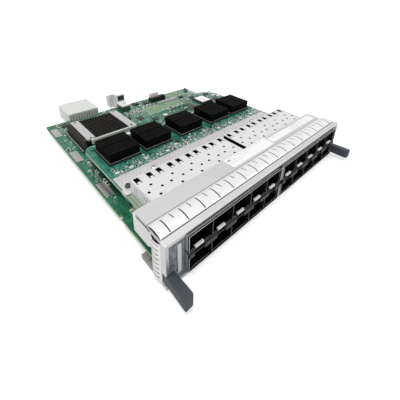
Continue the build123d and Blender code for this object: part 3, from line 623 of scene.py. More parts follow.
def parts_from(solid, rng, node, z, placed):
    """Builds a finished part in the place of each plain one of a node."""
    for box in islands(node):
        x0, x1, y0, y1, _, top = box
        upright = y1 - y0 > x1 - x0
        length, width = (y1 - y0, x1 - x0) if upright else (x1 - x0, y1 - y0)
        two_ended(solid, (x0 + x1) / 2, (y0 + y1) / 2, z, length, width, min(top - z, 1.3),
                  rng.choice(PART_BODIES), upright)
        placed.append(room_round(box, 0.3))


def node_place(node, room=0.4):
    return room_round(box_mm(node), room)


# Printed boards

TRACE, SOLDER, VIA, SILK, BARE = range(5)
print_finishes = ("trace", "solder", "via", "silk", "bare_laminate")


def bundle(solid, x, y, steps, count, pitch, z, width=0.26):
    """Parallel runs of copper from a point by (dx, dy) steps, each with a via at its far end."""
    points = [(x, y)]
    for dx, dy in steps:
        points.append((points[-1][0] + dx, points[-1][1] + dy))
    for k in range(count):
        path = offset_path(points, (k - (count - 1) / 2) * pitch)
        solid.track(path, width, z, 0.02, TRACE)
        solid.post(*path[-1], z, z + 0.035, 0.34, 10, VIA)


def via_cluster(solid, rng, x_range, y_range, z, count, placed):
    for _ in range(count):
        x = snapped(rng, x_range, 0.8)
        y = snapped(rng, y_range, 0.8)
        if clear_of(around(x, y, 0.3, 0.3), placed):
            solid.post(x, y, z, z + 0.03, 0.27, 8, VIA)


# Large heatsink

def make_pin_block():
    """Base and pins, with ribs at the left edge and lower pins under the two rails."""
    x0, x1, y0, y1, z0, z1 = box_mm("main_heatsink")
    rail_left = box_mm("rail_left")
    rail_right = box_mm("rail_right")
    solid = Solid()
    floor_top = z0 + 1.4
    solid.soft_box(x0, x1, y0, y1, z0, floor_top, 0.2)
    under_rail = rail_left[4] - 0.1
    for start, end, columns, top in ((x0, rail_left[0] - 0.1, 1, z1 - 0.15),
                                     (rail_left[0] + 0.1, rail_left[1] - 0.1, 2, under_rail),
                                     (rail_left[1] + 0.25, rail_right[0] - 0.25, 10, z1 - 0.15),
                                     (rail_right[0] + 0.1, rail_right[1], 2, under_rail)):
        rows, thick, finish, corner = (10, 2.0, 1, 0.7) if columns == 1 else (11, 1.7, 0, 0.25)
        pitch = (end - start) / columns
        row_pitch = (y1 - y0) / rows
        for row in range(rows):
            y = y0 + row * row_pitch + (row_pitch - thick) / 2
            for column in range(columns):
                x = start + column * pitch
                solid.soft_box(x + 0.09, x + pitch - 0.09, y, y + thick, floor_top - 0.1, top, 0.28,
                               finish, corner)
    solid.made("pin_block", "black_anodised", "pin_metal", "rib_dark", replaces=("main_heatsink",))


def make_front_bar():
    """Pale bar across the front of the large heatsink, and the light line of the frame under it."""
    x0, x1, y0, y1, z0, z1 = box_mm("heatsink_bar")
    solid = Solid()
    solid.soft_box(x0, x1, y0, y1, z0 - 1.7, z1, 0.12)
    for x in (x0 + 2.6, x1 - 3.8):
        solid.post(x, y1 + 0.7, z1 - 0.05, z1 + 0.07, 0.85, 14, 1)
    x0, x1, y0, y1, z0, z1 = box_mm("heatsink_frame")
    solid.box(x0 + 0.02, x0 + 0.4, y0, y1, z1 - 0.3, z1 + 0.05)
    solid.made("front_bar", "bare_metal", "bar_pale", "black_plastic", replaces=("heatsink_bar",))


# Small heatsinks, with the thin pale line of their base and of the chip's carrier

def make_finned_blocks():
    groove, fins, gap = 1.5, 4, 0.8
    for number in range(1, 6):
        node = "heatsink_%d" % number
        x0, x1, y0, y1, z0, z1 = box_mm(node)
        solid = Solid()
        base_top = z0 + 1.5
        solid.soft_box(x0, x1, y0, y1, z0, base_top, 0.12)
        half = (y1 - y0 - groove) / 2
        pitch = (half + gap) / fins
        for start in (y0, y1 - half):
            for k in range(fins):
                y = start + k * pitch
                solid.soft_box(x0, x1, y, y + pitch - gap, base_top - 0.1, z1, 0.3, corner=0.25)
        solid.made("finned_block_%d" % number, "black_anodised", "black_anodised", replaces=(node,))


def make_chip_lines():
    solid = Solid()
    for number in range(1, 6):
        for kind, reach, height, width, finish in (("heatsink", 0.12, 0.28, 0.6, 0),
                                                   ("port_chip", 0.45, 0.25, 1.0, 1)):
            node = "%s_%d" % (kind, number)
            z = box_mm(node)[4]
            solid.frame(*node_place(node, reach), z, z + height, width, finish)
    solid.made("chip_lines", "black_anodised", "base_line", "carrier_line")


# Ports

def cages():
    """Yields each port: its cage's name, its number in it, its left side, the pitch and the cage's box."""
    for name in ("upper_cage_left", "upper_cage_right", "lower_cage_left", "lower_cage_right"):
        box = box_mm(name)
        pitch = (box[1] - box[0]) / 5
        for k in range(5):
            yield name, k, box[0] + k * pitch, pitch, box


def make_port_shade_liners():
    """Painted shade: dark inner faces of the ports, with the small sprung fingers at each mouth coloured dark
    too.
    """
    solid = Solid()
    skin = 0.06
    for name, _, left, pitch, box in cages():
        front, back, bottom, top = box[2:]
        x0, x1 = left + 0.32, left + pitch - 0.32
        y0, y1 = front + 0.15, back - 0.4
        z0 = bottom + (0.02 if name.startswith("upper") else 0.32)
        z1 = top - 0.32
        # The last one is a dark shelf of painted shade close under the windows and vents of the cage's top.
        for shape in ((x0, x0 + skin, y0, y1, z0, z1), (x1 - skin, x1, y0, y1, z0, z1),
                      (x0, x1, y0, y1, z0, bottom + 0.42), (x0, x1, y0, 27.0, z1 - skin, z1),
                      (x0, x1, y1, y1 + 0.06, z0, z1), (x0, x1, 27.4, y1, z1 - 1.6, z1 - 1.54)):
            solid.box(*shape)
        for t in range(3):
            z = z0 + (t + 0.8) * (z1 - z0) / 3.6
            for x, turn in ((x0 + skin, 1), (x1 - skin, -1)):
                a, b = sorted((x, x + turn * 0.22))
                solid.box(a, b, y0 + 0.4, y0 + 4.0, z, z + 1.2, 1)
    solid.made("port_shade_liners", "black_plastic", "port_dark", "finger_dark")


def make_bezel_lines():
    """The bright cut edge of each bezel, its duller lines, and the dividers between the ports."""
    solid = Solid()
    middle = 13.8
    for node in ("bezel_left", "bezel_right"):
        x0, x1, y0, _, z0, z1 = box_mm(node)
        front, back = y0 - 0.05, y0 + 0.1
        solid.box(x0 + 0.1, x1 - 0.1, front, back, z1 - 0.34, z1 - 0.04)
        solid.box(x0 + 0.06, x0 + 0.34, front, back, middle + 1.3, z1 - 0.34)
        solid.box(x0 + 0.06, x0 + 0.34, front, back, z0 + 0.1, middle - 1.3)
        solid.box(x1 - 0.3, x1 - 0.06, front, back, z0 + 0.1, z1 - 0.34, 1)
        for z in (z0 + 0.05, middle - 1.22, middle + 1.02):
            solid.box(x0 + 0.34, x1 - 0.34, y0 - 0.04, back, z, z + 0.2, 1)
    for name, k, left, _, _ in cages():
        if k:
            levels = (15.0, 24.3) if name.startswith("upper") else (3.3, 12.5)
            solid.box(left - 0.14, left + 0.14, -1.24, -1.1, *levels, 2)
            # A dark strip of painted shade covers the front edge of each cage's divider wall.
            solid.box(left - 0.42, left + 0.42, -0.68, -0.56, *levels, 3)
    solid.made("bezel_lines", "cage_metal", "outline", "dull_line", "divider_grey",
               "port_dark")


def make_light_guides():
    """A slender bright bar under each upper port, square in section."""
    solid = Solid()
    for x0, x1, y0, y1, _, z1 in islands("light_guides"):
        solid.soft_box(x0 + 0.1, x1 - 0.1, y0 + 0.15, y1, z1 - 1.0, z1, 0.04, corner=0.02)
        solid.box(x0 + 0.3, x1 - 0.3, y0 + 0.06, y0 + 0.2, z1 - 0.95, z1 - 0.6, 1)
    solid.made("guide_bars", "white_plastic", "bright_guide", "seam_grey", replaces=("light_guides",))


def make_gap_plates():
    """The pale upright strip between the two groups of ports, with painted shade in the dark slot behind it
    and between the two cages.
    """
    left = box_mm("bezel_left")[1]
    right = box_mm("bezel_right")[0]
    solid = Solid()
    solid.box(left + 0.1, right - 0.1, -1.0, -0.55, 15.4, 24.9)
    solid.box(left + 0.1, right - 0.1, -1.0, -0.55, 2.7, 12.4)
    # Painted shade in the slot between the two bezels.
    solid.box(left + 0.1, right - 0.1, -1.06, -0.5, 12.4, 15.4, 1)
    cage = box_mm("upper_cage_left")
    other = box_mm("upper_cage_right")[0]
    # A dark shelf and walls of painted shade in the gap between the two cages.
    solid.box(cage[1] + 0.02, other - 0.02, 25.6, cage[3] - 0.3, 21.4, 21.9, 1)
    solid.box(cage[1] + 0.02, cage[1] + 0.1, 25.6, cage[3] - 0.3, 21.9, 24.2, 1)
    solid.box(other - 0.1, other - 0.02, 25.6, cage[3] - 0.3, 21.9, 24.2, 1)
    # The lower part of the rim lies in shade above the ports.
    solid.box(box_mm("bezel_left")[0], box_mm("bezel_right")[1], -0.05, 0.05, 25.56, 26.3, 2)
    solid.made("gap_plates", "dark_plastic", "dull_pale", "port_dark", "shade_grey")


def make_corner_feet():
    """Folded ends of the bottom plate, which show under the brackets."""
    x0, x1, _, y1, _, z1 = box_mm("bottom_plate")
    solid = Solid()
    for a, b in ((x0 + 0.3, -76.0), (76.0, x1 - 0.3)):
        solid.box(a, b, 12.0, y1 - 0.2, z1 - 0.05, z1 + 0.25)
        for front, back in ((13.4, 13.8), (16.4, 16.8)):
            solid.box(a + 0.8, b - 0.8, front, back, z1 + 0.2, z1 + 0.3, 1)
    solid.made("corner_feet", "sheet_metal", "foot_metal", "brown")


# Faceplate and spring strip

def make_spring_gaps():
    """Painted shade: a dark sheet under the sprung fingers, which shows in the gaps between them, and dark
    strips behind the strip, along its front and inside the side springs.
    """
    x0, x1, y0, y1, z0, z1 = box_mm("top_springs")
    top = box_mm("top_plate")[5]
    solid = Solid()
    solid.box(x0 + 0.2, x1 - 0.2, y0 + 0.1, y1 - 0.8, top - 0.03, top + 0.05)
    solid.box(x0, x1, y1 + 0.06, y1 + 0.42, top - 0.2, top - 0.02)
    rim_top = box_mm("faceplate")[5]
    solid.box(x0 + 0.5, x1 - 0.5, y0 - 0.16, y0 + 0.42, top + 0.1, rim_top + 0.02, 1)
    for node in ("side_springs_left", "side_springs_right"):
        x0, x1, y0, y1, z0, z1 = box_mm(node)
        inner = x1 if x0 < 0 else x0
        turn = -1 if x0 < 0 else 1
        a, b = sorted((inner - turn * 0.03, inner + turn * 0.05))
        solid.box(a, b, y0 + 0.3, y1 - 0.8, z0 + 0.3, z1 - 0.3)
    solid.made("spring_gaps", "dark_plastic", "shadow_line", "valley_grey")


def make_panel_marks():
    """Small generic marks beside the indicators of the status panel."""
    x0, x1, y0 = box_mm("status_panel")[:3]
    strip = box_mm("indicator_strip")
    rng = random.Random(11)
    solid = Solid()
    front = y0
    rows = 10
    for row in range(rows):
        z = strip[4] + (row + 0.5) * (strip[5] - strip[4]) / rows
        for a, b in ((x0 + 0.9, strip[0] - 0.5), (strip[1] + 0.35, x1 - 0.35)):
            if rng.random() < 0.8:
                reach = rng.uniform(0.5, 1.0) * (b - a)
                solid.box(b - reach, b, front - 0.03, front + 0.02, z - 0.16, z + 0.12)
    # The print reaches down over the lip above the lever's pocket.
    solid.box(x0 + 0.7, x0 + 3.9, 0.14, 0.34, 9.45, 11.9, 1)
    solid.made("panel_marks", "panel_print", "panel_mark", "panel_print")


def make_labels():
    top = box_mm("top_plate")[5]
    solid = Solid()
    rng = random.Random(5)

    def label(x0, x1, y0, y1, rows):
        solid.soft_box(x0, x1, y0, y1, top - 0.01, top + 0.07, 0.03, 0, corner=0.4)
        for share, length, dark in rows:
            y = y0 + share * (y1 - y0)
            x = x0 + 1.6
            end = x0 + 1.6 + length * (x1 - x0 - 3.2)
            while x < end:
                step = rng.uniform(0.6, 2.2)
                solid.box(x, min(x + step, end), y - 0.22, y + 0.22, top + 0.06, top + 0.085, dark)
                x += step + rng.uniform(0.35, 0.6)

    label(-21.6, 19.3, 16.5, 25.2, ((0.86, 0.9, 2), (0.62, 0.45, 2), (0.4, 0.3, 2)))
    solid.box(-20.2, -17.9, 22.4, 23.4, top + 0.06, top + 0.085, 1)
    label(20.4, 45.5, 17.5, 23.0, ((0.75, 0.5, 2),))
    label(46.0, 59.5, 17.5, 23.0, ((0.8, 0.9, 1), (0.55, 0.9, 2), (0.3, 0.9, 1)))
    label(60.0, 77.5, 17.2, 23.4, ((0.7, 0.9, 2), (0.35, 0.6, 2)))
    solid.made("labels", "white_plastic", "label_paper", "print_grey", "print_faint")


# Strip behind the cages, and screws

def make_strip_dots():
    x0, x1, _, _, _, z1 = box_mm("ground_strip")
    solid = Solid()
    spots = [((a + b) / 2, (c + d) / 2) for a, b, c, d, _, _ in islands("standoff_screws")]
    pitch = 2.5
    for row in range(7):
        y = 50.6 + row * pitch * 0.92
        shift = 0.0 if row % 2 else pitch / 2
        x = x0 + 2.4 + shift
        while x < x1 - 1.5:
            if all(math.hypot(x - a, y - b) > 3.0 for a, b in spots):
                solid.post(x, y, z1 - 0.05, z1 + 0.02, 0.27, 8)
            x += pitch
    solid.made("strip_dots", "sheet_metal", "dot_grey")


def make_screws():
    """Domed screws with a six-sided socket; the one by the left cage is a dark knob."""
    solid = Solid()
    for x0, x1, y0, y1, z0, z1 in islands("standoff_screws"):
        x, y = (x0 + x1) / 2, (y0 + y1) / 2
        radius = (x1 - x0) / 2 * (0.8 if x < -65 else 1.0)
        height = z1 - z0
        finish = 0
        if x < -65:
            finish = 1 if y < 60 else 2
        rings = [circle(x, y, z0, radius, 24)]
        for share, level in ((1.0, 0.3), (0.95, 0.55), (0.84, 0.78), (0.66, 0.93), (0.44, 1.0)):
            rings.append(circle(x, y, z0 + level * height, radius * share, 24))
        rings.append(circle(x, y, z0 + 0.96 * height, radius * 0.38, 24))
        rings.append(circle(x, y, z0 + 0.55 * height, radius * 0.34, 24))
        solid.stack(rings, finish)
        solid.post(x, y, z0 + 0.5 * height, z0 + 0.57 * height, radius * 0.33, 6, 2 if finish == 2 else 1)
    solid.made("screws", "steel", "steel", "knob_dark", "screw_green",
               replaces=("standoff_screws",))


# Board edges beside the cages

def make_bare_margins():
    x0, x1 = box_mm("port_board")[:2]
    solid = Solid()
    solid.box(x0 + 0.05, -70.75, 26.4, 47.6, port_top - 0.02, port_top + 0.05, 0)
    solid.box(-72.7, -72.45, 26.4, 47.0, port_top + 0.04, port_top + 0.12, 1)
    solid.box(75.5, x1 - 0.05, 26.4, 47.6, port_top - 0.02, port_top + 0.05, 0)
    solid.made("bare_margins", "board_green", "bare_edge", "shadow_line")


# Connectors at the back

def make_guide_block():
    """Guide block: square socket that faces the board, sloping body behind it and a screwed foot."""
    solid = Solid()
    left, right, front, back = -12.4, -4.2, 178.0, 188.6
    top = 18.6
    socket_left, socket_right, socket_low, socket_high = -11.85, -4.75, 12.1, 18.15
    depth = 8.0
    inner = front + depth

    def wedge(x0, x1, y0, y1, low, top0, top1):
        solid.stack([[(x0, y1, low), (x1, y1, low), (x1, y1, top1), (x0, y1, top1)],
                     [(x0, y0, low), (x1, y0, low), (x1, y0, top0), (x0, y0, top0)]])

    solid.box(left, right, inner, back, 3.4, 15.0)
    wedge(left, socket_left, inner - 0.02, back, 14.9, 17.9, 17.2)
    solid.box(left, right, front, inner, 5.0, socket_low)
    wedge(left, socket_left, front, inner, socket_low, top, 17.9)
    wedge(socket_right, right, front, inner, socket_low, top, 16.4)
    solid.box(socket_left, socket_right, front, front + 0.9, socket_high, top)
    wedge(socket_left, socket_right, front + 0.9, inner, 15.6, 16.9, 16.2)
    skin = 0.05
    solid.box(socket_left, socket_right, inner - skin, inner + skin, socket_low, 15.6, 1)
    solid.box(socket_left - skin, socket_left + skin, front + 0.1, inner, socket_low, 15.6, 1)
    solid.box(socket_right - skin, socket_right + skin, front + 0.1, inner, socket_low, 15.6, 1)
    solid.box(socket_left, socket_right, front + 0.1, inner, socket_low - skin, socket_low + skin, 1)
    solid.box(socket_left, socket_right, front + 0.9, front + 1.0, 15.5, socket_high, 1)
    wedge(-16.2, -11.6, back - 0.1, 196.0, 3.4, 17.1, 13.9)
    wedge(-11.7, -3.2, back - 0.1, 196.0, 3.4, 14.6, 12.8)
    foot_top = 11.6
    # The foot's lower block is painted shade, tinted as a painted reflection of the board.
    solid.box(-13.0, -4.5, 166.6, front, 5.0, foot_top - 1.3, 2)
    solid.soft_box(-13.4, -4.3, 166.3, front, foot_top - 1.4, foot_top, 0.2)
    solid.post(-8.4, 171.5, foot_top - 0.1, foot_top + 0.2, 1.3, 20, 3, edge=0.1)
    solid.made("guide_body", "grey_plastic", "light_grey", "socket_blue", "foot_dark",
               "steel", replaces=("guide_block",))


def make_socket_marks():
    x0, x1, y0, y1, _, z1 = box_mm("backplane_socket")
    solid = Solid()
    for z in (10.8, 4.3):
        ring = [(x0 - 0.03, 195.9 + 0.62 * math.cos(t), z + 0.62 * math.sin(t))
                for t in [2 * math.pi * i / 14 for i in range(14)]]
        inner = [(x0 + 0.1, y, zz) for _, y, zz in ring]
        solid.stack([inner, ring], 0)
    for k in range(1, 10):
        x = x0 + k * (x1 - x0) / 10
        solid.box(x - 0.07, x + 0.07, y0 + 0.6, y1 - 6.5, z1 - 0.02, z1 + 0.012, 1)
    solid.soft_box(x0 + 9.0, x1 - 7.2, y1 - 4.2, y1 - 0.2, z1 - 0.05, z1 + 0.3, 0.2, 2)
    solid.made("socket_marks", "white_plastic", "dot_grey", "seam_grey", "white_plastic")


def make_header_pins():
    x0, x1, y0, y1, _, z1 = box_mm("pin_header")
    solid = Solid()
    count = 5
    pitch = 2.35
    x = x0 + 1.0
    for k in range(count):
        middle = x + k * pitch
        for y in (y1 - 0.6, y1 - 2.5):
            solid.soft_box(middle - 0.62, middle + 0.62, y - 0.3, y + 0.3, z1 - 0.2, z1 + 4.55, 0.2)
    for k in range(3):
        a = x1 - 6.0 + k * 2.1
        solid.soft_box(a, a + 1.5, y0 + 0.8, y0 + 2.2, z1 - 0.1, z1 + 0.5, 0.1, 1)
    solid.made("header_prongs", "steel", "pin_pink", "black_plastic", replaces=("header_pins",))


def make_bar_contacts():
    x0, x1, y0, y1, z0, z1 = box_mm("bar_connector")
    solid = Solid()
    count = 18
    for k in range(count):
        x = x0 + 0.9 + k * (x1 - x0 - 1.8) / (count - 1)
        for front, back in ((y0 - 0.5, y0 + 0.12), (y1 - 0.12, y1 + 0.5)):
            solid.box(x - 0.22, x + 0.22, front, back, z0, z0 + 0.5, 0)
        solid.box(x - 0.18, x + 0.18, y0 + 0.9, y0 + 1.4, z1 - 0.05, z1 + 0.03, 1)
    solid.made("bar_contacts", "steel", "solder", "dot_grey")


def make_memory_details():
    x0, x1, y0, y1, z0, z1 = box_mm("memory_chip")
    solid = Solid()
    solid.soft_box(46.3, 57.6, 114.6, 127.6, z1 - 0.01, z1 + 0.06, 0.03, 0, corner=0.3)
    for row in range(3):
        solid.box(48.0, 53.5 - row, 118 + row * 2.2, 118.4 + row * 2.2, z1 + 0.05, z1 + 0.07, 2)
    count = 18
    for k in range(count):
        y = y0 + 0.9 + k * (y1 - y0 - 1.8) / (count - 1)
        for x, turn in ((x0, -1), (x1, 1)):
            for near, far, lower, upper in ((0.0, 0.5, 0.3, 1.0), (0.4, 1.1, 0.0, 0.16)):
                a, b = sorted((x + turn * near, x + turn * far))
                solid.box(a, b, y - 0.16, y + 0.16, z0 + lower, z0 + upper, 1)
    solid.made("memory_details", "chip_black", "label_paper", "solder", "print_faint")


# Printed faces and soldered parts of the upper board

def make_port_board():
    rng = random.Random(23)
    parts = Solid()
    prints = Solid()
    placed = [node_place("port_chip_%d" % n, 0.8) for n in range(1, 6)]
    placed.append(node_place("memory_chip", 1.4))
    placed += [room_round(box, 0.6) for box in islands("standoff_screws")]
    parts_from(parts, rng, "port_board_parts", port_top, placed)
    # The same group of parts stands behind each port.
    starts = [box_mm(cage)[0] for cage in ("upper_cage_left", "upper_cage_right")]
    for x in [start + PORT_PITCH * k for start in starts for k in range(5)]:
        group = random.Random(41)
        for dx, dy, kind, body in ((2.2, 68.6, (3.2, 1.6, 1.4), WHITE), (5.9, 68.2, (2.0, 1.25, 0.9), WHITE),
                                   (8.6, 70.0, (1.6, 0.85, 0.6), TAN), (11.6, 68.4, (3.2, 1.6, 1.4), WHITE)):
            spot = around(x + dx, dy, 1.9, 1.1)
            if clear_of(spot, placed):
                two_ended(parts, x + dx, dy, port_top, *kind, body)
                placed.append(spot)
        for dx, dy in ((4.0, 73.6), (10.9, 74.8)):
            spot = around(x + dx, dy, 1.9, 1.6)
            if clear_of(spot, placed):
                leaded_chip(parts, x + dx, dy, port_top, 2.2, 2.4, 1.0, "x")
                placed.append(spot)
        part_field(parts, group, (x + 0.5, x + 13.7), (66.7, 75.0), port_top, 34, placed,
                   bodies=(WHITE, TAN, BLACK, WHITE), grid=0.25)
    part_field(parts, rng, (-70.0, 77.0), (66.7, 72.5), port_top, 90, placed, grid=0.25)
    # A white block stands by itself in front of the pins.
    parts.soft_box(-40.6, -37.6, 105.2, 109.0, port_top, port_top + 1.7, 0.2, WHITE)
    placed.append((-41.2, -37.0, 104.6, 109.6))
    part_field(parts, rng, (-40.0, 76.0), (102.8, 109.3), port_top, 34, placed)
    part_field(parts, rng, (42.0, 76.5), (110.0, 138.5), port_top, 80, placed)
    for x, y, w, d, h in ((-12.5, 105.8, 4.2, 4.2, 1.0), (17.5, 88.0, 3.0, 5.0, 1.1),
                          (-44.0, 88.0, 2.6, 3.0, 1.0), (65.5, 116.0, 5.0, 5.0, 1.1),
                          (66.5, 131.0, 6.0, 4.0, 1.2), (49.0, 134.5, 5.0, 4.0, 1.2)):
        leaded_chip(parts, x, y, port_top, w, d, h)
    can(parts, 70.5, 124.0, port_top, 4.6, 3.0, 1.2)
    for n in range(1, 6):
        x0, x1, front, back, _, _ = box_mm("port_chip_%d" % n)
        x = (x0 + x1) / 2
        for shift in (-7.5, 0.0, 7.5):
            bundle(prints, x + shift, front - 0.3, ((0, -3.0), (1.6, -1.6), (0, -5.5)), 6, 0.62, port_top)
            bundle(prints, x + shift, back + 0.3, ((0, 2.5), (-2.0, 2.0), (0, 2.6)), 6, 0.62, port_top)
        bundle(prints, x0 - 0.3, 84.0, ((-2.2, 0), (-1.2, 1.2), (0, 13.0)), 3, 0.62, port_top)
    bundle(prints, -71.9, 67.5, ((0, 14.0), (0.9, 0.9), (0, 26.0)), 2, 0.7, port_top, 0.34)
    for k in range(4):
        bundle(prints, 44.0 + 7.5 * k, 131.0, ((0, 3.0), (-1.5, 1.5), (0, 3.5)), 7, 0.62, port_top)
    via_cluster(prints, rng, (-66.0, 77.0), (66.8, 109.0), port_top, 320, placed)
    via_cluster(prints, rng, (42.0, 77.0), (110.0, 139.0), port_top, 140, placed)
    parts.made("upper_parts", "ceramic_parts", *part_finishes, replaces=("port_board_parts",))
    prints.made("upper_print", "board_green", *print_finishes)


# Printed faces and soldered parts of the lower board

def grid_place(solid, x0, x1, y0, y1, z, pitch=1.9):
    """An unfilled connector place: bare laminate with a grid of vias and a row of pads at both sides."""
    solid.box(x0, x1, y0, y1, z, z + 0.03, BARE)
    solid.frame(x0 - 0.4, x1 + 0.4, y0 - 0.4, y1 + 0.4, z, z + 0.04, 0.25, SILK)
    columns = int((x1 - x0) / pitch)
    rows = int((y1 - y0) / pitch)
    for i in range(columns):
        for j in range(rows):
            x = x0 + (i + 0.5) * (x1 - x0) / columns
            y = y0 + (j + 0.5) * (y1 - y0) / rows
            solid.post(x, y, z, z + 0.05, 0.3, 8, VIA)
    for i in range(int((x1 - x0) / 1.3)):
        x = x0 + (i + 0.5) * 1.3
        for y in (y0 - 0.95, y1 + 0.95):
            solid.box(*around(x, y, 0.3, 0.4), z, z + 0.05, SILK)


def make_main_board():
    rng = random.Random(57)
    parts = Solid()
    prints = Solid()
    placed = [node_place(n) for n in ("heatsink_frame", "backplane_socket", "socket_wafers", "guide_block",
                                      "pin_header", "bar_connector")]
    placed.append(node_place("stack_sockets", 0.2))
    placed += [room_round(box, 0.3) for box in islands("guide_pads") + islands("standoffs")]
    parts_from(parts, rng, "main_board_parts", main_top, placed)

    grid_place(prints, 5.5, 48.5, 145.4, 159.4, main_top)
    grid_place(prints, 44.6, 68.4, 167.2, 180.2, main_top)
    placed += [(4.5, 49.5, 144.6, 160.2), (43.8, 69.2, 166.4, 181.0)]
    # Rows of parts round the first unfilled connector place.
    for k in range(9):
        two_ended(parts, 8.4 + 2.1 * k, 162.6, main_top, 2.0, 1.25, 1.0, (WHITE, BLACK)[k % 2], True)
        placed.append((7.4 + 2.1 * k, 9.4 + 2.1 * k, 161.0, 164.4))
    for x in (26.0, 32.5, 38.7, 44.7):
        two_ended(parts, x - 1.1, 142.7, main_top, 2.4, 1.6, 1.4, WHITE, True)
        two_ended(parts, x + 1.1, 142.7, main_top, 2.4, 1.6, 1.4, BLACK, True)
        placed.append((x - 2.4, x + 2.4, 141.0, 144.4))
    for column in range(6):
        for row in range(3):
            x, y = -12.4 + 2.6 * column, 156.2 + 3.2 * row
            two_ended(parts, x, y, main_top, 2.0, 1.25, 0.9, WHITE if (column + row) % 3 else BLACK)
            placed.append(around(x, y, 1.4, 1.0))
    for x, y, w, d, h, sides in ((-8.0, 142.7, 5.6, 5.6, 1.2, "xy"), (6.0, 175.0, 6.0, 4.6, 1.4, "x"),
                                 (16.2, 171.0, 4.2, 5.0, 1.3, "x"), (-16.6, 149.5, 3.6, 4.6, 1.2, "x"),
                                 (56.5, 161.0, 4.6, 3.8, 1.3, "x"), (60.5, 148.5, 7.0, 7.0, 1.4, "xy"),
                                 (71.5, 155.5, 4.5, 4.5, 1.2, "xy"), (72.5, 172.0, 3.2, 3.8, 1.2, "x"),
                                 (-66.5, 172.5, 5.0, 5.0, 1.2, "xy"), (-17.5, 131.0, 3.4, 4.4, 1.2, "x"),
                                 (2.5, 133.0, 5.2, 5.2, 1.2, "xy"), (22.5, 128.0, 5.0, 3.8, 1.2, "x")):
        placed.append(room_round(around(x, y, w / 2, d / 2), 1.1))
        leaded_chip(parts, x, y, main_top, w, d, h, sides)
    for x, y, w, d in ((14.4, 133.2, 5.0, 4.2), (-18.8, 163.5, 3.2, 4.8), (64.5, 155.5, 5.0, 3.2)):
        can(parts, x, y, main_top, w, d, 1.5)
        placed.append(room_round(around(x, y, w / 2, d / 2), 0.5))
    for x in (56.0, 58.9):
        two_ended(parts, x, 169.8, main_top, 2.0, 1.5, 1.3, BLACK, True)
    can(parts, 77.0, 178.6, main_top, 2.4, 2.4, 1.2, BLACK)
    placed.append((75.4, 78.6, 177.0, 180.0))
    for x_range, y_range, count in (((-22.0, 40.0), (111.0, 144.0), 36), ((-22.0, 8.0), (144.0, 180.2), 70),
                                    ((8.0, 78.0), (160.5, 180.2), 100), ((49.5, 78.0), (141.0, 167.0), 80),
                                    ((-72.5, -62.0), (159.5, 180.0), 45),
                                    ((-78.0, -71.8), (128.0, 157.0), 10),
                                    ((-62.0, -23.0), (159.2, 176.0), 60), ((-73.0, 20.0), (104.0, 119.0), 60),
                                    ((-76.4, -74.4), (58.0, 96.0), 26)):
        part_field(parts, rng, x_range, y_range, main_top, count, placed)
    # Tall parts in the gap between the boards show past the edge of the upper one.
    for k in range(16):
        y = 60.0 + 3.1 * k
        if clear_of((-73.9, -72.0, y - 1.2, y + 1.2), placed[8:]):
            height = rng.uniform(1.4, 2.6)
            two_ended(parts, -73.0, y, main_top, 2.2, 1.5, height, rng.choice((TAN, BLACK, WHITE)), True)
    for k in range(5):
        x = -18.0 + 4.6 * k
        bundle(prints, x, 111.0, ((0, 8.0), (2.4, 2.4), (0, 7.0)), 5, 0.66, main_top)
        bundle(prints, x, 150.0, ((0, -6.0), (-2.0, -2.0), (0, -5.0)), 4, 0.66, main_top)
    for k in range(5):
        bundle(prints, -57.0 + 5.3 * k, 159.6, ((0, 4.2), (1.4, 1.4), (0, 9.6)), 6, 0.66, main_top)
    for x, y, steps, count, pitch in (
            (-75.6, 88.0, ((0, 20.0), (1.6, 1.6), (0, 12.0)), 3, 0.7),
            (-73.8, 128.0, ((0, 24.0), (-1.4, 1.4), (0, 8.0)), 4, 0.7),
            (52.5, 143.5, ((0, 14.0), (3.0, 3.0), (0, 5.0)), 5, 0.66),
            (70.0, 142.5, ((0, 8.0), (2.0, 2.0), (0, 22.0)), 6, 0.66),
            (4.5, 147.0, ((-4.0, 0), (-2.5, 2.5), (-5.0, 0)), 6, 0.66)):
        bundle(prints, x, y, steps, count, pitch, main_top)
    via_cluster(prints, rng, (-78.0, -71.0), (57.0, 180.0), main_top, 30, placed)
    via_cluster(prints, rng, (-22.0, 78.0), (111.0, 180.2), main_top, 260, placed)
    parts.made("lower_parts", "ceramic_parts", *part_finishes, replaces=("main_board_parts",))
    prints.made("lower_print", "board_green", *print_finishes)


# Solder side of the lower board

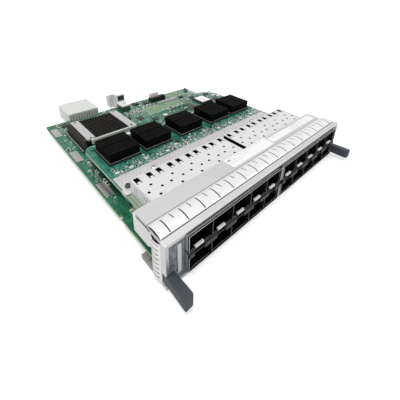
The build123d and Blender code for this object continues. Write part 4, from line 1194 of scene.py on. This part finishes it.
def make_underside():
    rng = random.Random(91)
    solid = Solid()
    x_range, y_range = (-78.0, 78.0), (24.0, 180.0)
    for _ in range(520):
        x = snapped(rng, x_range, 0.8)
        y = snapped(rng, y_range, 0.8)
        solid.post(x, y, main_bottom - 0.03, main_bottom, 0.3, 8, 1)
    placed = []
    for _ in range(900):
        length, width, height = rng.choice(PART_KINDS)
        x = snapped(rng, x_range, 0.5)
        y = snapped(rng, y_range, 0.5)
        spot = around(x, y, length, length)
        if not clear_of(spot, placed):
            continue
        placed.append(spot)
        low = main_bottom - height
        inner, outer = length * 0.26, length / 2
        front, back = y - width / 2, y + width / 2
        solid.box(x - outer, x - inner, front, back, low, main_bottom)
        solid.box(x + inner, x + outer, front, back, low, main_bottom)
        solid.box(x - inner, x + inner, front + 0.03, back - 0.03, low + 0.03, main_bottom,
                  rng.choice((2, 3, 4)))
    # Solder joints of the backplane socket and the pin header.
    for columns, rows, cx, cy, pitch in ((10, 6, -46.8, 180.0 - 9.0, 2.4), (8, 2, 31.0, 171.5, 2.0)):
        for i in range(columns):
            for j in range(rows):
                x = cx + (i - (columns - 1) / 2) * pitch
                y = cy + (j - (rows - 1) / 2) * pitch * 0.7
                solid.stack([circle(x, y, main_bottom - 0.7, 0.25, 8), circle(x, y, main_bottom, 0.55, 8)])
    solid.made("underside_parts", "ceramic_parts", "solder", "via", "tan", "part_black", "brown")


for build in (make_pin_block, make_front_bar, make_finned_blocks, make_chip_lines, make_port_shade_liners,
              make_bezel_lines, make_light_guides, make_gap_plates, make_corner_feet, make_spring_gaps,
              make_panel_marks, make_labels, make_strip_dots, make_screws, make_bare_margins,
              make_guide_block, make_socket_marks, make_header_pins, make_bar_contacts, make_memory_details,
              make_port_board, make_main_board, make_underside):
    build()


# Floor, lights and surroundings

def make_floor():
    size = 6.0
    data = bpy.data.meshes.new("floor")
    corners = [(-size, -size, 0), (size, -size, 0), (size, size, 0), (-size, size, 0)]
    data.from_pydata(corners, [], [(0, 1, 2, 3)])
    floor = bpy.data.objects.new("floor", data)
    bpy.context.scene.collection.objects.link(floor)
    floor.location.z = cad_lo.z - 0.0003
    t = Tree("floor_white")
    path = t.node("LightPath").outputs
    # The floor is lit to almost white, so mirrored rays need only a little more than the lamps give.
    mirrored = t.math("MAXIMUM", path["Is Glossy Ray"], path["Is Transmission Ray"])
    seen = t.math("MAXIMUM", path["Is Camera Ray"], t.math("MULTIPLY", mirrored, 0.05))
    t.done(t.ramp(t.noise(3.0), (0.3, grey(0.9)), (0.7, grey(0.92))), 0.9, Specular_IOR_Level=0.1,
           Emission_Color=grey(1), Emission_Strength=t.math("MULTIPLY", seen, 0.42))
    data.materials.append(finishes["floor_white"])


def make_world():
    """White to the camera and to mirrored rays, dimmer as a source of light."""
    world = bpy.data.worlds.new("studio")
    bpy.context.scene.world = world
    t = Tree("studio", world)
    path = t.node("LightPath").outputs
    seen = t.math("MAXIMUM", path["Is Camera Ray"], path["Is Glossy Ray"])
    seen = t.math("MAXIMUM", seen, path["Is Transmission Ray"])
    level = t.node("MapRange", Value=seen, To_Min=0.62, To_Max=1.0).outputs["Result"]
    t.fill(t.shader, Color=grey(1), Strength=level)


def lamp(name, location, target, size, power):
    data = bpy.data.lights.new(name, "AREA")
    data.shape = "DISK"
    data.size = size
    data.energy = power
    light = bpy.data.objects.new(name, data)
    bpy.context.scene.collection.objects.link(light)
    light.location = location
    light.rotation_mode = "QUATERNION"
    light.rotation_quaternion = (Vector(target) - Vector(location)).to_track_quat("-Z", "Y")


make_floor()
make_world()
middle = (0.0, 0.09, 0.01)
lamp("key_lamp", (-0.2, 0.05, 0.95), middle, 0.5, 3.8)
lamp("fill_lamp", (0.55, -0.45, 0.55), middle, 0.6, 0.8)
